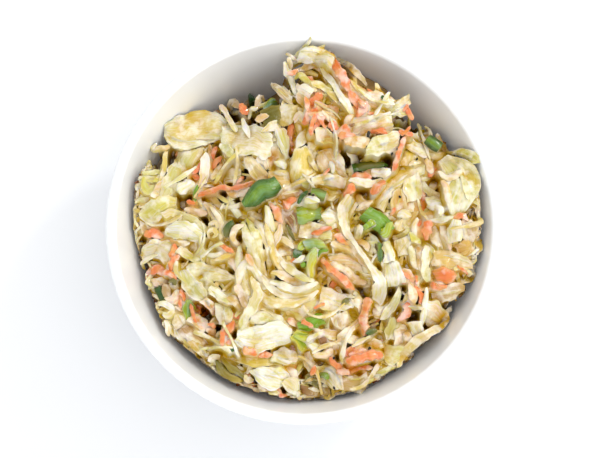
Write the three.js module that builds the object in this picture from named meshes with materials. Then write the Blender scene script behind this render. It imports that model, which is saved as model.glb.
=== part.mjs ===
// A round white bowl heaped with coleslaw. Millimetres, +Z up, origin at the centre of the foot's underside.
// The bowl is one turned solid. The salad is one solid: it fills the bowl from its floor up to an uneven,
// heaped top, 0.35 mm clear of the glaze all round.

import * as THREE from "three";

// Driving dimensions of the bowl.
const RIM_DIAMETER = 130;
const BOWL_HEIGHT = 60;
const WALL_THICKNESS = 3.8;
const WALL_TAPER_DEG = 15;
const BELLY_RADIUS = 24; // outside radius of the curve between wall and base
const FOOT_DIAMETER = 70;
const FOOT_WIDTH = 4.5;
const FOOT_HEIGHT = 3;
const FOOT_RECESS = 1.6; // how far the base inside the foot ring stands off the table
const EDGE_ROUND = 0.6; // rounding of the foot ring's corners

// Driving dimensions of the heap.
const GLAZE_GAP = 0.35;
const CROWN_HEIGHT = 56; // the middle of the heap, before the mounds below
const CROWN_POWER = 3; // how flat the crown is before it falls to the wall
const MOUND_FADE_START = 0.88; // share of the way out to the wall where mounds begin to fade

// Resolution of the facets.
const SECTORS = 72;
const LIP_STEPS = 12;
const BELLY_STEPS = 5;
const TOP_RINGS = 17;
const UNDERSIDE_RINGS = 8;

// Where the salad meets the wall: height above the table at each bearing, in degrees from +X towards +Y.
// It is highest at the back, where the last spoonful leans against the wall between two hollows.
const WALL_CONTACT = [
  { bearing: 0, height: 48 },
  { bearing: 44, height: 38 },
  { bearing: 62, height: 50 },
  { bearing: 80, height: 54 },
  { bearing: 98, height: 39 },
  { bearing: 115, height: 36 },
  { bearing: 145, height: 41 },
  { bearing: 180, height: 45 },
  { bearing: 225, height: 40 },
  { bearing: 270, height: 41 },
  { bearing: 315, height: 36 },
];

// Mounds (rise above 0) and hollows (rise below 0) on the crown.
const MOUNDS = [
  { name: "last spoonful", x: 11, y: 40, rise: 14, spread: 11 },
  { name: "back left hollow", x: -17, y: 43, rise: -12, spread: 8 },
  { name: "back right hollow", x: 39, y: 35, rise: -7, spread: 7 },
  { name: "left leaf", x: -34, y: 24, rise: 4, spread: 9 },
  { name: "right leaf", x: 47, y: 8, rise: 5, spread: 8 },
  { name: "middle", x: 6, y: -6, rise: 3, spread: 16 },
  { name: "front left dip", x: -36, y: -30, rise: -4, spread: 9 },
  { name: "front right hollow", x: 40, y: -36, rise: -5, spread: 8 },
];

// Smaller lumps all over the top: crossed waves, none of them along the axes.
const LUMPS = [
  { length: 27, turn: 25, rise: 1.2, phase: 0.4 },
  { length: 19, turn: 78, rise: 1, phase: 2.1 },
  { length: 14, turn: 140, rise: 0.8, phase: 4.4 },
];

const radians = THREE.MathUtils.degToRad;
const taper = radians(WALL_TAPER_DEG);
const lipRadius = WALL_THICKNESS / 2;
const lipCentre = new THREE.Vector2(RIM_DIAMETER / 2 - lipRadius, BOWL_HEIGHT - lipRadius);

// The belly's centre lies where a curve of BELLY_RADIUS touches both the tapered wall and the base.
const bellyCentre = (() => {
  const height = FOOT_HEIGHT + BELLY_RADIUS;
  const wallLength =
    (lipCentre.y - height + (BELLY_RADIUS - lipRadius) * Math.sin(taper)) / Math.cos(taper);
  const radius =
    lipCentre.x - wallLength * Math.sin(taper) - (BELLY_RADIUS - lipRadius) * Math.cos(taper);
  return new THREE.Vector2(radius, height);
})();

const innerBelly = BELLY_RADIUS - WALL_THICKNESS;

// Points on an arc in the radius-height plane, both ends included. Angles run from +radius towards +height.
function arc(centre, radius, fromAngle, toAngle, steps) {
  return Array.from({ length: steps + 1 }, (_, i) => {
    const angle = THREE.MathUtils.lerp(fromAngle, toAngle, i / steps);
    return new THREE.Vector2(
      centre.x + radius * Math.cos(angle),
      centre.y + radius * Math.sin(angle),
    );
  });
}

// The bowl's closed half section, from the axis below, out round the lip, and back to the axis inside.
function bowlProfile() {
  const footOuter = FOOT_DIAMETER / 2;
  const footInner = footOuter - FOOT_WIDTH;
  const footJoin =
    bellyCentre.y - Math.sqrt(BELLY_RADIUS ** 2 - (footOuter - bellyCentre.x) ** 2);
  const joinAngle = Math.atan2(footJoin - bellyCentre.y, footOuter - bellyCentre.x);
  return [
    new THREE.Vector2(0, FOOT_RECESS),
    new THREE.Vector2(footInner - EDGE_ROUND, FOOT_RECESS),
    new THREE.Vector2(footInner + EDGE_ROUND, 0),
    new THREE.Vector2(footOuter - EDGE_ROUND, 0),
    new THREE.Vector2(footOuter, EDGE_ROUND),
    ...arc(bellyCentre, BELLY_RADIUS, joinAngle, -taper, BELLY_STEPS),
    ...arc(lipCentre, lipRadius, -taper, Math.PI - taper, LIP_STEPS),
    ...arc(bellyCentre, innerBelly, -taper, -Math.PI / 2, BELLY_STEPS),
    new THREE.Vector2(0, bellyCentre.y - innerBelly),
  ];
}

// A LatheGeometry turns about +Y, so this stands it up on +Z.
function turned(profile) {
  return new THREE.LatheGeometry(profile, SECTORS).rotateX(Math.PI / 2);
}

// Height at a bearing where the salad meets the wall, eased between the named bearings.
function contactHeight(bearing) {
  const full = 360;
  const angle = ((bearing % full) + full) % full;
  const next = WALL_CONTACT.findIndex((c) => c.bearing > angle);
  const b = next < 0 ? { ...WALL_CONTACT[0], bearing: full } : WALL_CONTACT[next];
  const a = next < 0 ? WALL_CONTACT[WALL_CONTACT.length - 1] : WALL_CONTACT[next - 1];
  const share = (angle - a.bearing) / (b.bearing - a.bearing);
  return THREE.MathUtils.lerp(a.height, b.height, THREE.MathUtils.smoothstep(share, 0, 1));
}

// The salad's skin along the glaze, as a polyline from the bowl's axis up to a given height on the wall.
function glazeLine(topHeight) {
  const clear = innerBelly - GLAZE_GAP;
  const line = [
    new THREE.Vector2(0, bellyCentre.y - clear),
    ...arc(bellyCentre, clear, -Math.PI / 2, -taper, BELLY_STEPS),
  ];
  const last = line[line.length - 1];
  const rise = topHeight - last.y;
  line.push(new THREE.Vector2(last.x + rise * Math.tan(taper), topHeight));
  return line;
}

// The point a share of the way along a polyline, by length.
function along(line, share) {
  const lengths = line.slice(1).map((p, i) => p.distanceTo(line[i]));
  let left = share * lengths.reduce((a, b) => a + b, 0);
  for (let i = 0; i < lengths.length; i += 1) {
    if (left <= lengths[i]) return line[i].clone().lerp(line[i + 1], left / lengths[i]);
    left -= lengths[i];
  }
  return line[line.length - 1].clone();
}

// Mounds, hollows and lumps at a place on the heap, before they fade out at the wall.
function unevenness(x, y) {
  const mounds = MOUNDS.reduce((sum, m) => {
    const away = ((x - m.x) ** 2 + (y - m.y) ** 2) / (2 * m.spread ** 2);
    return sum + m.rise * Math.exp(-away);
  }, 0);
  const lumps = LUMPS.reduce((sum, w) => {
    const turn = radians(w.turn);
    const way = (x * Math.cos(turn) + y * Math.sin(turn)) / w.length;
    const across = (y * Math.cos(turn) - x * Math.sin(turn)) / w.length;
    const ridges = Math.sin(2 * Math.PI * way + w.phase);
    return sum + w.rise * ridges * Math.cos(2 * Math.PI * across + 2 * w.phase);
  }, 0);
  return mounds + lumps;
}

// The heap's top at a share of the way out to the wall.
function heapPoint(share, bearing, edge) {
  const angle = radians(bearing);
  const x = share * edge.x * Math.cos(angle);
  const y = share * edge.x * Math.sin(angle);
  const crown = edge.y + (CROWN_HEIGHT - edge.y) * (1 - share ** CROWN_POWER);
  const fade = 1 - THREE.MathUtils.smoothstep(share, MOUND_FADE_START, 1);
  return new THREE.Vector3(x, y, crown + fade * unevenness(x, y));
}

// The salad as one closed mesh: rings from the top's middle out to the wall, then down the glaze to the axis.
function heapGeometry() {
  const rings = [];
  for (let ring = 1; ring <= TOP_RINGS; ring += 1) {
    rings.push((bearing, line) =>
      heapPoint(ring / TOP_RINGS, bearing, line[line.length - 1]),
    );
  }
  for (let ring = UNDERSIDE_RINGS - 1; ring >= 1; ring -= 1) {
    rings.push((bearing, line) => {
      const p = along(line, ring / UNDERSIDE_RINGS);
      const angle = radians(bearing);
      return new THREE.Vector3(p.x * Math.cos(angle), p.x * Math.sin(angle), p.y);
    });
  }
  const middle = { x: 0, y: CROWN_HEIGHT };
  const vertices = [heapPoint(0, 0, middle)];
  rings.forEach((place) => {
    for (let sector = 0; sector < SECTORS; sector += 1) {
      const bearing = (360 * sector) / SECTORS;
      vertices.push(place(bearing, glazeLine(contactHeight(bearing))));
    }
  });
  vertices.push(new THREE.Vector3(0, 0, glazeLine(CROWN_HEIGHT)[0].y));

  const at = (ring, sector) => 1 + ring * SECTORS + (sector % SECTORS);
  const lowest = vertices.length - 1;
  const faces = [];
  for (let sector = 0; sector < SECTORS; sector += 1) {
    faces.push(0, at(0, sector), at(0, sector + 1));
    for (let ring = 0; ring < rings.length - 1; ring += 1) {
      faces.push(at(ring, sector), at(ring + 1, sector), at(ring + 1, sector + 1));
      faces.push(at(ring, sector), at(ring + 1, sector + 1), at(ring, sector + 1));
    }
    faces.push(at(rings.length - 1, sector), lowest, at(rings.length - 1, sector + 1));
  }
  const geometry = new THREE.BufferGeometry().setFromPoints(vertices);
  geometry.setIndex(faces);
  geometry.computeVertexNormals();
  return geometry;
}

function bowl() {
  const glaze = new THREE.MeshStandardMaterial({ color: 0xf4f4f1, roughness: 0.15, metalness: 0 });
  const mesh = new THREE.Mesh(turned(bowlProfile()), glaze);
  mesh.name = "bowl";
  return mesh;
}

function coleslaw() {
  const salad = new THREE.MeshStandardMaterial({ color: 0xe6d6a8, roughness: 0.45, metalness: 0 });
  const mesh = new THREE.Mesh(heapGeometry(), salad);
  mesh.name = "coleslaw";
  return mesh;
}

const part = new THREE.Group();
part.add(bowl(), coleslaw());

export default part;
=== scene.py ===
"""Coleslaw in a white bowl: real shreds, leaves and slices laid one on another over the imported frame.

Lengths are in millimetres until a mesh is made, heights are above the table, and angles are in degrees.
"""

from functools import partial
import math

import bpy
import numpy as np
from mathutils import Matrix, Vector
from mathutils.bvhtree import BVHTree


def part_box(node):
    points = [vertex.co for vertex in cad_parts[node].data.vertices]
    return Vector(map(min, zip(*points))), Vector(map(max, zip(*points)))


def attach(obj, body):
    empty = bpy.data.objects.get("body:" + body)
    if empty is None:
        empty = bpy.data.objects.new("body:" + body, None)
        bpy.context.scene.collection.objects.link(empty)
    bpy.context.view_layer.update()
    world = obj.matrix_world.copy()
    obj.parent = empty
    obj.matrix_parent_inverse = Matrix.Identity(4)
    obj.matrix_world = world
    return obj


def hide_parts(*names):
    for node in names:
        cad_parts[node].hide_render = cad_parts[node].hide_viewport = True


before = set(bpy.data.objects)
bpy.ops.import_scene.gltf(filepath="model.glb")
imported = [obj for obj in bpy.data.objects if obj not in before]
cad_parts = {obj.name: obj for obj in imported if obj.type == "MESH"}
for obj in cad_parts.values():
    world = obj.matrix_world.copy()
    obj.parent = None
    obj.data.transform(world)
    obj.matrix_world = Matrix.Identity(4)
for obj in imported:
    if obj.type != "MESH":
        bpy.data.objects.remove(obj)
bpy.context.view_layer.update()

MM = 0.001
SEED = 20
FULL_TURN = 2 * math.pi

# The photograph's frame and what it shows of the rim, in its own pixels.
PHOTO_SIZE = (610, 458)
RIM_CENTRE_PX = (304, 224.5)
RIM_RADIUS_PX = 199

# The camera looks down, leaning a little from the front.
CAMERA_DISTANCE = 550
CAMERA_LEAN = 7
SENSOR_WIDTH = 36
CLIP_RANGE = (0.01, 10)  # in metres

RIM_RADIUS, _, RIM_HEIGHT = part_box("bowl")[1] / MM
MM_PER_PX = RIM_RADIUS / RIM_RADIUS_PX
FOCAL_PX = RIM_RADIUS_PX * CAMERA_DISTANCE / RIM_RADIUS

# The square grid of heights that the pieces pile up on, and the coarser one on which rays find the CAD.
CELL = 0.4
GRID_LINE = np.arange(-RIM_RADIUS, RIM_RADIUS + CELL / 2, CELL)
GRID_X, GRID_Y = np.meshgrid(GRID_LINE, GRID_LINE, indexing="ij")
RAY_STEP = 1.0
RAY_HALF = math.ceil(RIM_RADIUS) + 1
RAY_START = 200

# How far the soaked core, painted dark as shade deep in the heap, stays below the heap's own top, how much
# of a deep gap's depth it gives way to, and how high and long its lumps are.
CORE_DEPTH = 9.0
CORE_IN_GAPS = 0.7
CORE_RELIEF = 0.72
CORE_LUMP = 7

# How far below the heap's top loose pieces fill it, to leave room for the pieces laid on them: less in a
# band along the wall, round the front from one bearing to the other. They are dropped a few at a time, until
# no more than so many cubic millimetres are missing or so many pieces are laid.
FILL_BELOW = 6.5
EDGE_FILL_BELOW = 1.0
EDGE_BAND = 5.0
EDGE_BEARINGS = (160, 380)
FILL_LEFT = 2500
FILL_MOST = 2600
FILL_ROUND = 12

# How many small pieces fill the valleys below and above the traced pieces, how many fine shreds lie along
# the wall, and how many strands and carrot crumbs are scattered on top.
FINE_BELOW = 560
FINE_ON_TOP = 24
FINE_AT_EDGE = 320
STRAND_COUNT = 20
CRUMB_COUNT = 24

# A valley lies lower than the heap is on average within a reach. Nothing small falls where a traced gap is
# deeper than OPEN_GAP.
VALLEY_REACH = 2.5
VALLEY_ROUNDS = 12
OPEN_GAP = 1.5

# How far the heap's finished top and its colours are smoothed before pieces are soaked, painted with shade
# and stained by them.
SOAK_AND_SHADE_REACH = 2
STAIN_REACH = 1.4


# ---------------------------------------------------------------- camera

def camera_axes():
    """The camera's right, up and backward directions."""
    tilt = Matrix.Rotation(math.radians(CAMERA_LEAN), 3, "X")
    return tilt.col[0].copy(), tilt.col[1].copy(), tilt.col[2].copy()


def pixel_ray(px, py):
    """The direction in which the camera sees a pixel of the photograph."""
    right, up, back = camera_axes()
    across = (px - PHOTO_SIZE[0] / 2) / FOCAL_PX
    above = (PHOTO_SIZE[1] / 2 - py) / FOCAL_PX
    return (right * across + up * above - back).normalized()


def camera_place():
    """The camera stands where it sees the rim's centre at its pixel."""
    rim_centre = Vector((0, 0, RIM_HEIGHT))
    return rim_centre - pixel_ray(*RIM_CENTRE_PX) * CAMERA_DISTANCE


def seen_at(pixels, heights):
    """The plan points, at the given heights, that the photograph shows at pixels."""
    right, up, back = (np.array(axis) for axis in camera_axes())
    across = (pixels[..., :1] - PHOTO_SIZE[0] / 2) / FOCAL_PX
    above = (PHOTO_SIZE[1] / 2 - pixels[..., 1:]) / FOCAL_PX
    ray = right * across + up * above - back
    eye = np.array(camera_place())
    return eye[:2] + ray[..., :2] * ((heights - eye[2]) / ray[..., 2])[..., None]


def add_object(name, data):
    """A new object in the scene."""
    thing = bpy.data.objects.new(name, data)
    bpy.context.scene.collection.objects.link(thing)
    return thing


def make_camera():
    data = bpy.data.cameras.new("camera")
    data.sensor_width = SENSOR_WIDTH
    data.lens = FOCAL_PX / PHOTO_SIZE[0] * SENSOR_WIDTH
    data.clip_start, data.clip_end = CLIP_RANGE
    camera = add_object("camera", data)
    turn = Matrix(camera_axes()).transposed().to_4x4()
    camera.matrix_world = Matrix.Translation(camera_place() * MM) @ turn
    bpy.context.scene.camera = camera


# ---------------------------------------------------------------- heights

def top_of(node):
    """A CAD node's height seen from above, on the ray grid; 0 where there is nothing."""
    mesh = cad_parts[node].data
    tree = BVHTree.FromPolygons(
        [v.co / MM for v in mesh.vertices], [p.vertices[:] for p in mesh.polygons]
    )
    line = np.arange(-RAY_HALF, RAY_HALF + RAY_STEP / 2, RAY_STEP)
    heights = np.zeros((len(line), len(line)))
    for i, x in enumerate(line):
        for j, y in enumerate(line):
            hit = tree.ray_cast(Vector((x, y, RAY_START)), Vector((0, 0, -1)))[0]
            heights[i, j] = hit.z if hit else 0
    return heights


def refine(heights):
    """The ray grid's heights, blended onto the pile's finer grid."""
    fine = (GRID_LINE + RAY_HALF) / RAY_STEP
    low = np.clip(fine.astype(int), 0, len(heights) - 2)
    share = fine - low
    rows = heights[low] * (1 - share)[:, None] + heights[low + 1] * share[:, None]
    return rows[:, low] * (1 - share) + rows[:, low + 1] * share


def waves(x, y, length, rng, count=7):
    """A smooth random relief between about -1 and 1 with bumps of a given length."""
    total = np.zeros(np.shape(x))
    turns = rng.uniform(0, FULL_TURN, count)
    phases = rng.uniform(0, FULL_TURN, count)
    stretches = rng.uniform(0.7, 1.4, count)
    for turn, phase, stretch in zip(turns, phases, stretches):
        way = x * math.cos(turn) + y * math.sin(turn)
        total = total + np.sin(FULL_TURN * way / (length * stretch) + phase)
    return total / math.sqrt(count)


def blurred(heights, reach):
    """The heights, smoothed over a reach in millimetres."""
    cells = math.ceil(3 * reach / CELL)
    spread = np.arange(-cells, cells + 1) * CELL
    weight = np.exp(-((spread / reach) ** 2) / 2)
    weight /= weight.sum()
    out = np.apply_along_axis(np.convolve, 0, heights, weight, "same")
    return np.apply_along_axis(np.convolve, 1, out, weight, "same")


def blurred_inside(values, reach):
    """The values, smoothed over a reach without taking any from beyond the heap's edge."""
    share_inside = np.maximum(blurred(INSIDE.astype(float), reach), 0.05)
    return blurred(values * INSIDE, reach) / share_inside


def blurred_tint(pile, reach):
    """The colours of what lies on top, smoothed over a reach."""
    return np.stack([blurred_inside(pile.tint[..., k], reach) for k in range(3)], axis=-1)


def neighbourhood(heights, cells, pick):
    """The highest or lowest height within a round neighbourhood."""
    result = heights
    for i in range(-cells, cells + 1):
        for j in range(-cells, cells + 1):
            if i * i + j * j <= cells * cells:
                result = pick(result, np.roll(heights, (i, j), (0, 1)))
    return result


class Pile:
    """The heights of everything laid so far, and the colour of what lies on top."""

    def __init__(self, heights):
        self.h = heights
        self.tint = np.full(heights.shape + (3,), 0.3)  # a mid grey, until something covers it

    def index(self, xy):
        cell = np.rint((xy + RIM_RADIUS) / CELL).astype(int)
        return np.clip(cell, 0, len(self.h) - 1)

    def pick(self, values, xy):
        cell = self.index(xy)
        return values[cell[..., 0], cell[..., 1]]

    def at(self, xy):
        return self.pick(self.h, xy)

    def cover(self, xyz, tints):
        cell = self.index(xyz[..., :2]).reshape(-1, 2)
        z = xyz[..., 2].ravel()
        above = z > self.h[cell[:, 0], cell[:, 1]]
        cell, z = cell[above], z[above]
        i, j = cell[np.argsort(z)].T
        self.h[i, j] = np.sort(z)
        self.tint[i, j] = np.reshape(tints, (-1, 3)).mean(0)


# ---------------------------------------------------------------- the heap's edge

# The edge in the photograph, in its pixels, from the left leaf anticlockwise.
EDGE_PX = (
    (137, 213), (141, 258), (148, 278), (158, 303), (172, 334), (186, 343), (208, 362), (230, 378),
    (256, 389), (290, 396), (330, 395), (360, 388), (385, 377), (415, 357), (445, 328), (463, 294),
    (476, 265), (479, 228), (481, 183), (478, 156), (455, 148), (436, 140), (416, 126), (400, 110),
    (385, 98), (352, 77), (328, 56), (302, 56), (288, 72), (282, 104), (258, 103), (240, 104),
    (205, 114), (166, 130), (152, 150), (143, 180),
)

# The heights at which sight lines meet the heap are first guessed and then read off it a few times. At the
# edge they are read a little inside it, and are never lower than the salad's lowest place on the wall.
SIGHT_ROUNDS = 3
EDGE_HEIGHT = 45.0
EDGE_INSIDE = 0.96
EDGE_LOWEST = 36


def farthest_above(top, wall, bearings, nearest, steps, clear):
    """How far out one pile lies clear above another, at each of some bearings in radians."""
    reach = np.linspace(nearest, RIM_RADIUS, steps)
    found = []
    for bearing in bearings:
        spots = np.column_stack([reach * math.cos(bearing), reach * math.sin(bearing)])
        above = wall.at(spots) + clear < top.at(spots)
        found.append(reach[above][-1] if above.any() else nearest)
    return np.array(found)


def heap_reach(heap_top, bowl_top):
    """How far the heap reaches at each whole degree: to the glaze, but no further than in the photograph."""
    wall, top = Pile(bowl_top), Pile(heap_top)
    pixels = np.array(EDGE_PX, float)
    edge = seen_at(pixels, np.full(len(pixels), EDGE_HEIGHT))
    for _ in range(SIGHT_ROUNDS):
        edge = seen_at(pixels, np.maximum(top.at(edge * EDGE_INSIDE), EDGE_LOWEST))
    bearing = np.degrees(np.arctan2(edge[:, 1], edge[:, 0])) % 360
    order = np.argsort(bearing)
    reach = np.linalg.norm(edge, axis=1)
    shown = np.interp(np.arange(360), bearing[order], reach[order], period=360)
    bearings = np.radians(np.arange(360))
    return np.minimum(farthest_above(top, wall, bearings, nearest=40, steps=120, clear=0), shown)


def reach_at(x, y):
    """How far the heap reaches at the bearings of plan points."""
    return HEAP_REACH[np.degrees(np.arctan2(y, x)).astype(int) % 360]


def edge_distance():
    """How far each cell of the grid lies inside the heap's edge."""
    return reach_at(GRID_X, GRID_Y) - np.hypot(GRID_X, GRID_Y)


def keep_in_heap(xy, margin=0.3):
    """Plan points pulled in to the heap's edge and a margin past it."""
    limit = reach_at(xy[..., 0], xy[..., 1]) + margin
    reach = np.linalg.norm(xy, axis=-1)
    return xy * np.minimum(1, limit / np.maximum(reach, 1e-6))[..., None]


# ---------------------------------------------------------------- colours and batches

def linear(red, green, blue):
    """A colour seen as 0 to 255 on a screen, as linear light."""
    seen = np.array((red, green, blue)) / 255
    return np.where(seen <= 0.04045, seen / 12.92, ((seen + 0.055) / 1.055) ** 2.4)


WHITE = linear(252, 249, 242)
CREAM = linear(244, 224, 184)
BUTTER = linear(243, 218, 130)
LIME = linear(226, 218, 98)
GREENISH = linear(224, 220, 146)
STRAW = linear(236, 198, 108)
YOLK = linear(248, 224, 120)
GOLD = linear(216, 160, 60)
TAN = linear(216, 182, 134)
KHAKI = linear(190, 166, 72)
ROSE = linear(250, 214, 184)
# Brown: a wilted leaf's own colour, and painted shade on pieces in creases and in the dark gaps by the wall.
WILT_AND_SHADE_BROWN = linear(156, 106, 54)
CARROT = linear(252, 130, 58)
CARROT_PALE = linear(253, 178, 124)
ONION_DEEP = linear(40, 72, 22)
ONION_DARK = linear(30, 96, 14)
ONION_BRIGHT = linear(128, 178, 40)
ONION_PALE = linear(190, 212, 122)
ONION_FROST = linear(120, 158, 110)
# A painted highlight: the pale streak along the top of an onion stalk.
ONION_PAINTED_HIGHLIGHT = linear(150, 196, 100)
OLIVE = linear(118, 112, 30)
PEPPER = linear(38, 30, 26)
DRESSING = linear(252, 247, 236)
# The core's mottle: soaked brown, darkened as painted shade deep in the heap.
CORE_DARK = linear(120, 84, 30)
CORE_LIGHT = linear(190, 150, 80)
GLAZE_LOW = linear(246, 250, 254)
GLAZE_HIGH = linear(249, 252, 255)
FLOOR = linear(240, 241, 243)

# What moisture multiplies every colour by, and what soaking mixed with painted shade, and deeper down
# painted shade alone, do to it: each begins at the first depth below the heap's smoothed surface and is
# complete at the second.
MOIST = np.array((0.815, 0.8, 0.81))
SOAK_AND_SHADE_TINT = np.array((0.86, 0.63, 0.01))
SOAK_AND_SHADE_DEPTHS = (-0.2, 2.2)
SHADED = np.array((0.4, 0.3, 0.3))
SHADE_DEPTHS = (2.2, 4.5)

# How far neighbours stain each other through the dressing.
BLEED = {"carrot_shreds": 0.12, "green_onion": 0.04, "pepper": 0}
BLEED_CABBAGE = 0.1

# The angle from which an edge of a piece is shaded sharp.
SHARP_FROM = 40


class Batch:
    """Vertices, faces, colours and grain directions that become one mesh piece."""

    def __init__(self):
        self.verts = []
        self.quads = []
        self.tints = []
        self.grains = []
        self.count = 0

    def add(self, verts, quads, tints, grains):
        self.verts.append(verts)
        self.quads.append(quads + self.count)
        self.tints.append(np.broadcast_to(tints, verts.shape))
        self.grains.append(grains)
        self.count += len(verts)


BATCHES = {name: Batch() for name in (
    "cabbage_shreds", "cabbage_shreds_pale", "cabbage_strands", "cabbage_wall_strands", "cabbage_flakes",
    "cabbage_ribs", "cabbage_leaves", "carrot_shreds", "green_onion", "pepper",
)}


def blend_tint(a, b, share):
    share = np.asarray(share)[..., None]
    return a * (1 - share) + b * share


def soaked_and_shaded(verts, tints, surface):
    """The colours, browner and darker the deeper a vertex lies under the smoothed top: soaking and painted
    shade.
    """
    depth = surface.at(verts[:, :2]) - verts[:, 2]
    share, deep = (
        np.clip((depth - start) / (full - start), 0, 1)[:, None]
        for start, full in (SOAK_AND_SHADE_DEPTHS, SHADE_DEPTHS)
    )
    share = share * share * (3 - 2 * share)
    return tints * MOIST * (1 - share + share * SOAK_AND_SHADE_TINT) * (1 - deep + deep * SHADED)


def mesh_object(name, batch, material, surface, bleed):
    """One object from a batch, smooth shaded, with its tint and grain as attributes.

    surface is the heap's smoothed top and its colours, of which each vertex takes the share bleed.
    """
    verts = np.concatenate(batch.verts)
    quads = np.concatenate(batch.quads)
    mesh = bpy.data.meshes.new(name)
    mesh.vertices.add(len(verts))
    mesh.vertices.foreach_set("co", (verts * MM).astype(np.float32).ravel())
    mesh.loops.add(quads.size)
    mesh.loops.foreach_set("vertex_index", quads.astype(np.int32).ravel())
    mesh.polygons.add(len(quads))
    mesh.polygons.foreach_set("loop_start", np.arange(0, quads.size, 4, dtype=np.int32))
    mesh.update(calc_edges=True)
    mesh.validate()
    mesh.shade_smooth()
    mesh.set_sharp_from_angle(angle=math.radians(SHARP_FROM))
    tint = mesh.color_attributes.new("tint", "FLOAT_COLOR", "POINT")
    around = surface.pick(surface.tint, verts[:, :2])
    # Soaking and painted shade: each vertex is browned and darkened by its depth below the smoothed surface.
    shades = soaked_and_shaded(verts, blend_tint(np.concatenate(batch.tints), around, bleed), surface)
    rgba = np.column_stack([shades, np.ones(len(shades))])
    tint.data.foreach_set("color", rgba.astype(np.float32).ravel())
    grain = mesh.attributes.new("grain", "FLOAT_VECTOR", "POINT")
    grain.data.foreach_set("vector", np.concatenate(batch.grains).astype(np.float32).ravel())
    mesh.materials.append(material)
    return add_object(name, mesh)


# ---------------------------------------------------------------- strips

# Where a strip's rest on the pile is measured across it, and how far it presses into the pile.
ACROSS = np.linspace(-1, 1, 5)
PRESS = 0.15

# How wide a strip's last sections are, how long the bays of its ragged sides are, how far from its
# ends their slant reaches, and how far apart two pieces' grains may start.
END_WIDTH = 0.7
RAGGED_LENGTH = 4
SLANT_REACH = 1.2
GRAIN_RANGE = 500

# The skins of strips, as add_strip takes them.
SHRED_SKIN = dict(points=12, flat=0.35, edge=0.35, ragged=0.14, slant=0.9)
STRAND_SKIN = dict(points=8, flat=0.9)
FINE_SKIN = dict(points=8, flat=0.45, edge=0.3, ragged=0.15, slant=0.8)
VEIN_SKIN = dict(FINE_SKIN, flat=0.5)
RIB_SKIN = dict(points=12, flat=0.7, rough=0.03)
CARROT_SKIN = dict(points=12, flat=0.45, rough=0.1, edge=0.22, ragged=0.2, slant=0.9)
PEPPER_SKIN = dict(points=10, flat=0.9, rough=0.1, edge=0)
TRACED_SKIN = dict(points=14, rough=0.01, ragged=0.12, slant=0.6)


def run_along(line):
    """How far each point of a line lies along it."""
    return np.concatenate([[0], np.cumsum(np.linalg.norm(np.diff(line, axis=0), axis=1))])


def even_path(points, spacing):
    """A smooth curve through points, sampled evenly."""
    p = np.asarray(points, float)
    p = np.vstack([2 * p[0] - p[1], p, 2 * p[-1] - p[-2]])
    t = np.linspace(0, 1, 12, endpoint=False)[:, None]
    runs = []
    for a, b, c, d in zip(p, p[1:], p[2:], p[3:]):
        first = 2 * b + (c - a) * t
        second = (2 * a - 5 * b + 4 * c - d) * t**2
        third = (3 * b - a - 3 * c + d) * t**3
        runs.append(0.5 * (first + second + third))
    fine = np.vstack(runs + [p[-2:-1]])
    length = run_along(fine)
    count = max(5, int(round(length[-1] / spacing)) + 1)
    where = np.linspace(0, length[-1], count)
    return np.column_stack([np.interp(where, length, fine[:, k]) for k in range(fine.shape[1])])


def wander(rng, middle, heading, length, curl, spacing):
    """A random smooth plan path of a given length that turns about curl radians a millimetre."""
    count = max(5, int(round(length / spacing)) + 1)
    along = np.linspace(0, 1, count)
    swing = np.sin(math.pi * along * rng.uniform(0.6, 2) + rng.uniform(0, 6))
    bend = curl * (rng.normal(0, 0.6) + rng.normal(0, 0.8) * swing)
    turn = heading + np.cumsum(bend) * length / (count - 1)
    step = np.column_stack([np.cos(turn), np.sin(turn)]) * length / (count - 1)
    path = np.cumsum(step, axis=0)
    return keep_in_heap(path - path[count // 2] + middle)


def smooth_line(values, passes=2):
    for _ in range(passes):
        padded = np.concatenate([values[:1], values, values[-1:]])
        values = (padded[:-2] + 2 * padded[1:-1] + padded[2:]) / 4
    return values


def unit(vectors):
    return vectors / np.maximum(np.linalg.norm(vectors, axis=-1, keepdims=True), 1e-9)


def lay_strip(pile, path, width, thickness, tilt, lift, bend):
    """Lets a strip settle on the pile. path is its plan, and width, tilt (radians) and lift vary along it.

    It bends no tighter than the radius bend. Returns its centre line, and its sections' sides and ups.
    """
    along = unit(np.gradient(path, axis=0))
    normal = np.column_stack([-along[:, 1], along[:, 0]])
    half_plan = width / 2 * np.abs(np.cos(tilt)) + thickness / 2 * np.abs(np.sin(tilt))
    rise = width / 2 * np.sin(tilt)
    spots = path[:, None] + normal[:, None] * (ACROSS[:, None] * half_plan[:, None, None])
    need = (pile.at(spots) - ACROSS * rise[:, None]).max(1) + thickness / 2 - PRESS - lift
    run = run_along(path)
    sag = (run[:, None] - run) ** 2 / (2 * bend)
    centre_z = smooth_line((need - sag).max(1)) + lift
    centre = np.column_stack([path, centre_z])
    tangent = unit(np.gradient(centre, axis=0))
    level = np.column_stack([normal, np.zeros(len(path))])
    plumb = np.cross(tangent, level)
    side = level * np.cos(tilt)[:, None] + plumb * np.sin(tilt)[:, None]
    up = np.cross(tangent, side)
    return centre, side, up


def cover_strip(pile, centre, side, up, width, thickness, tints):
    """Raises the pile to a strip's upper surface."""
    fine = np.linspace(0, len(centre) - 1, len(centre) * 3)
    low = np.minimum(fine.astype(int), len(centre) - 2)
    share = (fine - low)[:, None]

    def between(v):
        return v[low] * (1 - share) + v[low + 1] * share

    mid = between(centre)
    arm = between(side * width[:, None] / 2)
    roof = between(np.abs(up[:, 2:]) * thickness[:, None] / 2)
    steps = np.linspace(-1, 1, 9)[:, None]
    skin = mid[:, None] + arm[:, None] * steps
    skin[..., 2] += roof
    pile.cover(skin, tints)


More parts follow.
